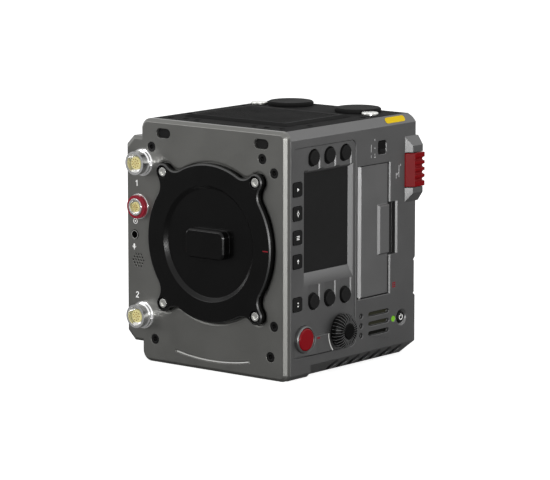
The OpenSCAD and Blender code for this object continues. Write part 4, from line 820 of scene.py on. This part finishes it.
@dataclass
class Ring:
    """A Geometry Nodes group that sets a piece in a ring."""

    name: str

    def tree(self) -> bpy.types.NodeTree:
        """Builds the group, with named inputs."""
        tree = bpy.data.node_groups.new(self.name, "GeometryNodeTree")
        kinds = {"Unit": "Geometry", "Count": "Int", "Axis": "Vector", "Centre": "Vector",
                 "Material": "Material"}
        for name, kind in kinds.items():
            tree.interface.new_socket(name=name, in_out="INPUT", socket_type=f"NodeSocket{kind}")
        tree.interface.new_socket(name="Geometry", in_out="OUTPUT",
                                  socket_type="NodeSocketGeometry")
        given = add_node(tree, "NodeGroupInput").outputs
        row = add_node(tree, "GeometryNodeMeshLine", {"Count": given["Count"], "Offset": (0, 0, 0)})
        index = add_node(tree, "GeometryNodeInputIndex").outputs[0]
        step = add_node(tree, "ShaderNodeMath", {0: math.tau, 1: given["Count"]},
                        operation="DIVIDE")
        angle = add_node(tree, "ShaderNodeMath", {0: index, 1: step.outputs[0]},
                         operation="MULTIPLY")
        turn = add_node(tree, "FunctionNodeAxisAngleToRotation", {
            "Axis": given["Axis"], "Angle": angle.outputs[0]})
        copies = add_node(tree, "GeometryNodeInstanceOnPoints", {
            "Points": row.outputs[0], "Instance": given["Unit"], "Rotation": turn.outputs[0]})
        moved = add_node(tree, "GeometryNodeTransform", {
            "Geometry": copies.outputs[0], "Translation": given["Centre"]})
        plain = add_node(tree, "GeometryNodeRealizeInstances", {"Geometry": moved.outputs[0]})
        dyed = add_node(tree, "GeometryNodeSetMaterial", {
            "Geometry": plain.outputs[0], "Material": given["Material"]})
        add_node(tree, "NodeGroupOutput", {"Geometry": dyed.outputs[0]})
        return tree

    def apply(self, unit: bpy.types.Object, count: int, axis: tuple, centre: tuple,
              finish: Finish) -> bpy.types.Object:
        """Repeats a piece and turns the result into a plain mesh.

        Args:
            unit: The piece that is repeated, modelled round the origin.
            count: Number of copies.
            axis: The axis of the ring.
            centre: Where the ring goes, in metres.
            finish: The finish of the result.

        Returns:
            The same object with the repeated mesh.
        """
        tree = self.tree()
        modifier = unit.modifiers.new(self.name, "NODES")
        modifier.node_group = tree
        values = {"Count": count, "Axis": axis, "Centre": centre, "Material": finish.material()}
        for item in tree.interface.items_tree:
            if item.in_out == "INPUT" and item.name in values:
                modifier[item.identifier] = values[item.name]
        return baked(unit)


@dataclass
class Assembly:
    """A sub-assembly: nodes that get soft edges, and nodes that keep the CAD's shape."""

    edges: dict[str, float] = field(default_factory=dict)
    plain: tuple[str, ...] = ()

    def build(self) -> None:
        """Rounds the edges of the first and gives the others their finish."""
        for node, width in self.edges.items():
            softened(node, width)
        dressed(*self.plain)


@dataclass
class FrontPlate(Assembly):
    """The front plate with its rim round the cap and its printed marks."""

    edges: dict[str, float] = field(default_factory=lambda: {"front_screws": 0.15, "mic_jack": 0.1})
    plain: tuple[str, ...] = ("slot_windows", "mic_capsule")
    edge: float = 0.15
    face_y: float = -53.0
    lens_z: float = 65.5
    rim: float = 1.1
    rim_depth: float = 0.3
    rim_reach: float = 50.6
    rim_half: float = 43.0
    # Half length, sag, width, lowest place and depth
    groove: tuple[float, float, float, float, float] = (24.6, 2.5, 1.2, 5.4, 0.75)
    jack: Glyph = Glyph(lines=((arc(2.05, 0, 360, 24), 0.3),), spot=(-51.4, 64.7))
    jack_y: float = -53.2
    marks: tuple[Glyph, ...] = (
        Glyph(lines=(([(-0.7, 0.8), (0.15, 1.4), (0.15, -1.4)], 0.5),), spot=(-49.9, 91.2)),
        Glyph(lines=(([(-0.8, 0.8), (-0.45, 1.3), (0.45, 1.3), (0.8, 0.7), (-0.8, -1.35),
                       (0.9, -1.35)], 0.5),), spot=(-49.9, 33.8)),
        Glyph(lines=((arc(1.3, 0, 360), 0.3), (arc(0.3, 0, 360), 0.3)), spot=(-51.0, 71.7)),
        Glyph((rounded(1.0, 2.0, 0.48),),
              ((arc(1.15, 190, 350, 8), 0.25), ([(0, -1.15), (0, -2.1)], 0.35)), (-51.9, 59.0)),
    )

    def build(self) -> None:
        """Builds the plate, its screws, its windows and the marks."""
        rim = Slope(self.face_y, self.rim, self.rim_depth, (0.0, self.lens_z), self.rim_half,
                    self.rim_reach)
        softened("front_plate", self.edge, rim)
        super().build()
        stuck("jack_ring", "mic_jack", self.jack.loops(), front_place(0, self.jack_y, 0), STAINLESS)
        stuck("front_marks", "front_plate", [loop for mark in self.marks for loop in mark.loops()],
              front_place(0, self.face_y, 0), WHITE_INK)
        # A near-white strip on the groove's floor: a painted highlight for its lit edge
        half, sag, width, low, depth = self.groove
        radius = (half * half + sag * sag) / (2 * sag)
        turn = math.degrees(math.asin((half - width) / radius))
        line = [(u, low + radius + v) for u, v in arc(radius, 270 - turn, 270 + turn, 24)]
        stuck("groove_painted_highlight", "front_plate", strokes(line, width / 2),
              front_place(0, self.face_y + depth, 0), PAINTED_HIGHLIGHT, depth - INK_MM)


@dataclass
class PortCap(Assembly):
    """The port cap with its captive screws and its index mark."""

    edges: dict[str, float] = field(default_factory=lambda: {"port_cap_screws": 0.1})
    plain: tuple[str, ...] = ("lens_mount_ring",)
    edge: float = 0.12
    face_y: float = -56.2
    axis: tuple[float, float] = (0.0, 65.5)
    rim: float = 0.7
    dish: float = 32.0
    # Place of a screw's pocket from the axis, and its reach
    pocket: tuple[float, float, float] = (30.25, 33.6, 3.3)
    mark: Glyph = Glyph((rounded(3.4, 0.55, 0.2),), spot=(37.2, 65.5))

    def build(self) -> None:
        """Builds the cap, the screws and the mark."""
        x, z, radius = self.pocket
        skip = [(0.0, self.axis[1], self.dish)]
        skip += [(i * x, self.axis[1] + k * z, radius) for i in (-1, 1) for k in (-1, 1)]
        # The rim's slope takes the glossier copy of the black: a painted sheen
        rim = Slope(self.face_y, self.rim, self.rim, self.axis, math.inf, math.inf, tuple(skip),
                    SHEEN_NYLON)
        softened("port_cap", self.edge, rim)
        super().build()
        stuck("cap_mark", "port_cap", self.mark.loops(), front_place(0, self.face_y, 0), RED_INK)


@dataclass
class Receptacles(Assembly):
    """The push-pull receptacles of the wing."""

    edges: dict[str, float] = field(default_factory=lambda: {
        "lens_port_shell": 0.12, "lens_port_ring": 0.2})
    plain: tuple[str, ...] = ("video_port_upper", "video_port_lower", "video_port_inserts",
                              "lens_port_insert")
    pin: float = 0.28
    pin_rise: float = 0.15
    ring_ratio: float = 2.4
    # Name, node, middle and radius of the outer ring of contacts
    contacts: tuple = (
        ("video_contacts_upper", "video_port_inserts", (-45.5, -59.1, 102.5), 2.1),
        ("video_contacts_lower", "video_port_inserts", (-45.5, -59.1, 23.9), 2.1),
        ("lens_contacts", "lens_port_insert", (-48.6, -55.9, 79.4), 1.6),
    )

    def build(self) -> None:
        """Builds the shells, the red ring, the contact blocks and the contacts."""
        super().build()
        for name, node, spot, radius in self.contacts:
            spots = arc(radius, 0, 320, 8) + arc(radius / self.ring_ratio, 0, 270, 3)
            loops = [[(u + a, v + b) for u, v in arc(self.pin, 0, 315, 7)] for a, b in spots]
            stuck(name, node, loops, front_place(*spot), GOLD, self.pin_rise)


@dataclass
class SideCasing(Assembly):
    """The panel side: shell, printed marks, badge and status light."""

    plain: tuple[str, ...] = ("status_light",)
    edge: float = 0.2
    face_x: float = 47.5
    top: float = 125.0
    bevel: tuple[float, float] = (2.9, 4.6)
    # The front wall of the door's pocket
    lip: float = 2.9
    lip_y: float = 7.2
    lip_z: tuple[float, float] = (33.0, 102.5)
    # The finger recess behind the door
    scoop_y: tuple[float, float] = (31.3, 37.0)
    scoop_z: tuple[float, float] = (53.5, 81.4)
    scoop_x: tuple[float, float] = (44.3, 46.4)
    scoop_corner: float = 0.2
    # Air slots: middle, length and height; dots beside them: middle and radius
    slots: tuple[float, float, float] = (22.4, 16.6, 1.9)
    dot: tuple[float, float] = (7.9, 1.2)
    slot_z: tuple[float, ...] = (15.0, 20.0, 25.0)
    slot_floor: float = 45.92
    badge: tuple[float, float, float] = (16.0, 3.3, 1.5)
    badge_y: float = 37.0
    badge_mm: float = 0.15
    lock_mark: Glyph = Glyph(
        (rounded(1.0, 0.35, 0.1), [(x, z + 4.2) for x, z in rounded(0.35, 1.0, 0.1)]),
        (([(-0.7, -4.6), (0.7, -4.6)], 0.35), ([(0, -3.8), (0, -2.8)], 0.3),
         ([(-3.0, -1.8), (-3.0, 2.0)], 0.35), ([(-3.0, -4.6), (-3.0, -3.4)], 0.35)), (18.6, 110.0))
    lever_mark: Glyph = Glyph(lines=(
        ([(-1.5, -3.5), (-1.5, -0.6)], 0.35), ([(-1.5, -2.0), (0.8, -0.4)], 0.35),
        ([(0.8, -3.0), (0.8, 3.2)], 0.35), ([(2.2, 2.6), (2.2, 3.6)], 0.5)), spot=(38.0, 96.0))
    card_mark: Glyph = Glyph(lines=(
        ([(-0.9, -1.1), (0.9, -1.1), (0.9, 1.1), (-0.9, 1.1), (-0.9, -1.1)], 0.5),
        ([(-0.9, 0), (0.9, 0)], 0.4)), spot=(35.0, 37.7))

    def build(self) -> None:
        """Builds the shell and what is printed or stuck on it."""
        softened("right_shell", self.edge, Lip(self.face_x, self.lip_y, self.lip_z, self.lip))
        self._lay_shade()
        super().build()
        side = side_place(self.face_x, 0, 0)
        stuck("lock_marks", "right_shell", self.lock_mark.loops(), side, GREY_INK)
        stuck("lever_marks", "right_shell", self.lever_mark.loops(), side, GREY_INK)
        stuck("card_mark", "right_shell", self.card_mark.loops(), side, RED_INK)
        inward, down = self.bevel
        middle = side_place(self.face_x - inward / 2, self.badge_y, self.top - down / 2,
                            math.degrees(math.atan2(inward, down)))
        stuck("badge", "right_shell", [rounded(*self.badge)], middle, YELLOW_VINYL, self.badge_mm)

    def _lay_shade(self) -> None:
        """Lays dark sheets of painted shade in the air slots, the dots and the finger recess."""
        middle, length, height = self.slots
        for i, z in enumerate(self.slot_z):
            slot = rounded(length, height, height / 2 - NEAR_MM)
            stuck(f"slot_shade_sheet_{i + 1}", "right_shell", [slot],
                  side_place(self.slot_floor, middle, z), OLIVE_SHADE if i else DEEP_SLOT_SHADE)
            stuck(f"dot_shade_sheet_{i + 1}", "right_shell", [arc(self.dot[1], 0, 345, 23)],
                  side_place(self.slot_floor, self.dot[0], z), DEEP_SLOT_SHADE)
        # Painted shade: dark sheets on the finger recess's floor and back wall
        (y0, y1), (z0, z1), (x0, x1) = self.scoop_y, self.scoop_z, self.scoop_x
        stuck("scoop_floor_shade", "right_shell", [rounded(y1 - y0, z1 - z0, self.scoop_corner)],
              side_place(x0, (y0 + y1) / 2, (z0 + z1) / 2), RECESS_SHADE)
        stuck("scoop_wall_shade", "right_shell", [rounded(x1 - x0, z1 - z0, self.scoop_corner)],
              front_place((x0 + x1) / 2, y1, (z0 + z1) / 2), RECESS_SHADE)


@dataclass
class ControlPanel(Assembly):
    """The control panel: keys, display, record button and power button."""

    edges: dict[str, float] = field(default_factory=lambda: {
        "control_panel": 0.15, "record_bezel": 0.12, "record_button": 0.5, "power_button": 0.3,
        **{f"soft_key_{i}": 0.25 for i in range(1, 7)},
        **{f"menu_key_{i}": 0.2 for i in range(1, 6)}})
    plain: tuple[str, ...] = ("display_glass", "display_module")
    square_x: float = 47.7
    square_y: float = -43.35
    square_z: tuple[float, ...] = (95.8, 83.77, 71.74, 59.71, 38.2)
    glyphs: tuple[Glyph, ...] = (
        Glyph(([(0.8, 0), (-0.6, 0.9), (-0.6, -0.9)],)),
        Glyph(lines=((arc(0.7, 0, 360, 12), 0.25), ([(0, 0.7), (0, 1.6)], 0.3),
                     ([(0, -0.7), (0, -1.6)], 0.3))),
        Glyph(lines=tuple(([(-1.1, z), (1.1, z)], 0.32) for z in (0.8, 0, -0.8))),
        Glyph(lines=(([(0, -1.0), (0, 1.0)], 0.35), ([(-0.7, 0.3), (0, 1.0), (0.7, 0.3)], 0.3))),
        Glyph(tuple([(x, z + rise) for x, z in arc(0.4, 0, 330, 11)] for rise in (0.8, -0.8))),
    )
    power_x: float = 47.2
    power_sign: Glyph = Glyph(lines=((arc(1.3, 130, 410), 0.45), ([(0, 0.4), (0, 1.8)], 0.45)),
                              spot=(41.5, 20.0))
    ridge_x: float = 49.5
    record_mark: Glyph = Glyph((rounded(2.2, 0.9, 0.3),), spot=(-29.3, 19.7))
    # A near-white arc along the ridge's end by the dial: a painted highlight for its lit edge
    crescent: Glyph = Glyph(lines=((arc(12.5, 178.0, 223.0), 0.6),), spot=(-8.6, 20.3))

    def build(self) -> None:
        """Builds the panel and all that is set in it."""
        super().build()
        for i, (glyph, z) in enumerate(zip(self.glyphs, self.square_z), 1):
            stuck(f"key_glyph_{i}", f"menu_key_{i}", glyph.loops(),
                  side_place(self.square_x, self.square_y, z), WHITE_INK)
        ridge = side_place(self.ridge_x, 0, 0)
        # Painted highlight: the bright arc on the ridge's end
        stuck("ridge_painted_highlight", "control_panel", self.crescent.loops(), ridge, PAINTED_HIGHLIGHT)
        stuck("record_mark", "control_panel", self.record_mark.loops(), ridge, RED_INK)
        stuck("power_sign", "power_button", self.power_sign.loops(), side_place(self.power_x, 0, 0),
              WHITE_INK)


@dataclass
class JogDial(Assembly):
    """The jog dial with radial ribs on its face, and the button in its middle."""

    edges: dict[str, float] = field(default_factory=lambda: {"jog_dial": 0.15, "dial_button": 0.4})
    plain: tuple[str, ...] = ("dial_encoder",)
    centre: tuple[float, float, float] = (0.0, -8.6, 20.3)
    # A rib's root and crest, each as radius and X
    root: tuple = ((4.2, 52.6), (6.75, 52.6), (8.75, 50.6), (8.75, 48.6))
    crest: tuple = ((4.2, 53.0), (6.9, 52.95), (9.0, 50.75), (9.0, 48.6))
    root_half: float = 0.1
    crest_half: float = 0.2 / 3
    ribs: int = 30

    def build(self) -> None:
        """Builds the dial, its ribs and its button."""
        super().build()
        bm = bmesh.new()
        low, high = self.root_half, self.crest_half
        loft(bm, [[Vector((x, r, -low)), Vector((top, reach, -high)), Vector((top, reach, high)),
                   Vector((x, r, low))] for (r, x), (reach, top) in zip(self.root, self.crest)])
        bmesh.ops.recalc_face_normals(bm, faces=bm.faces)
        unit = mesh_object("dial_ribs", bm, DIAL_PLASTIC, smooth=False)
        centre = tuple(c * MM for c in self.centre)
        # The ribs are mid grey: a painted highlight on the dark dial
        ribs = Ring("ring_of_ribs").apply(unit, self.ribs, (1, 0, 0), centre, RIB_HIGHLIGHT_PLASTIC)
        fitted(ribs, "jog_dial", replaces=False)


@dataclass
class MediaDoor(Assembly):
    """The media door, its lock and the card behind it."""

    edges: dict[str, float] = field(default_factory=lambda: {"media_lock": 0.12})
    plain: tuple[str, ...] = ("door_hinge_pin", "media_bay", "media_card")
    edge: float = 0.12
    # The door's section as X and Y, and the pin's bore as X, Y and radius
    profile: tuple = ((45.0, 7.7), (46.4, 9.15), (46.4, 30.8), (43.9, 30.8), (43.9, 8.15))
    span: tuple[float, float] = (34.2, 101.3)
    pin: tuple[float, float, float] = (45.0, 9.15, 0.72)
    overrun: float = 1.0
    # The grip: its extents, and how far its front and its ends slope
    tab_y: tuple[float, float] = (22.1, 30.8)
    tab_z: tuple[float, float] = (54.5, 80.4)
    tab_x: tuple[float, float, float] = (45.0, 46.4, 47.5)
    tab_slope: tuple[float, float] = (1.3, 0.8)

    def build(self) -> None:
        """Builds the door and the lock."""
        low, high = self.span
        door = plates("media_door_body", [list(self.profile)], Matrix.Translation((0, 0, low)),
                      high - low, LIT_DOOR_METAL)
        combined(door, self._tab(), "UNION")
        x, y, radius = self.pin
        hole = [(x + u, y + v) for u, v in arc(radius, 0, 345, 23)]
        bore = plates("pin_bore", [hole], Matrix.Translation((0, 0, low - self.overrun)),
                      high - low + 2 * self.overrun, LIT_DOOR_METAL)
        combined(door, bore, "DIFFERENCE")
        fitted(edged(door, self.edge), "media_door")
        super().build()

    def _tab(self) -> bpy.types.Object:
        """Builds the grip, which slopes at its front and its ends."""
        (y0, y1), (z0, z1), (dy, dz) = self.tab_y, self.tab_z, self.tab_slope
        rings = []
        for x, cy, cz in zip(self.tab_x, (0.0, 0.0, dy), (0.0, 0.0, dz)):
            corners = ((y0 + cy, z0 + cz), (y1, z0 + cz), (y1, z1 - cz), (y0 + cy, z1 - cz))
            rings.append([Vector((x, y, z)) for y, z in corners])
        bm = bmesh.new()
        loft(bm, rings)
        bmesh.ops.recalc_face_normals(bm, faces=bm.faces)
        return mesh_object("grip_tab", bm, LIT_DOOR_METAL, smooth=False)


@dataclass
class ReleaseLever(Assembly):
    """The battery release: the lever on the side and the latch at the back."""

    edges: dict[str, float] = field(default_factory=lambda: {
        "release_lever": 0.3, "battery_latch": 0.3})


@dataclass
class OuterCase(Assembly):
    """Top, base, rear and left side. The grille keeps the CAD's thin ribs as they are."""

    edges: dict[str, float] = field(default_factory=lambda: {
        "left_shell": 0.2, "rear_panel": 0.2, "top_cover": 0.2, "bottom_plate": 0.2,
        "battery_plate": 0.3, "top_caps": 0.2, "strap_studs": 0.15, "sdi_connectors": 0.15,
        "power_inlet": 0.15})
    plain: tuple[str, ...] = ("top_grille",)


@dataclass
class Interior(Assembly):
    """What lies inside and shows through the openings."""

    plain: tuple[str, ...] = ("image_sensor", "sensor_board", "main_board", "heat_sink",
                              "fan_housing", "fan_rotor", "key_board")


def main() -> None:
    """Builds the studio and every piece in order."""
    logging.basicConfig(level=logging.INFO, format="%(name)s: %(message)s")
    Studio().build()
    for assembly in (FrontPlate, PortCap, Receptacles, SideCasing, ControlPanel, JogDial,
                     MediaDoor, ReleaseLever, OuterCase, Interior):
        assembly().build()


if __name__ == "__main__":
    main()
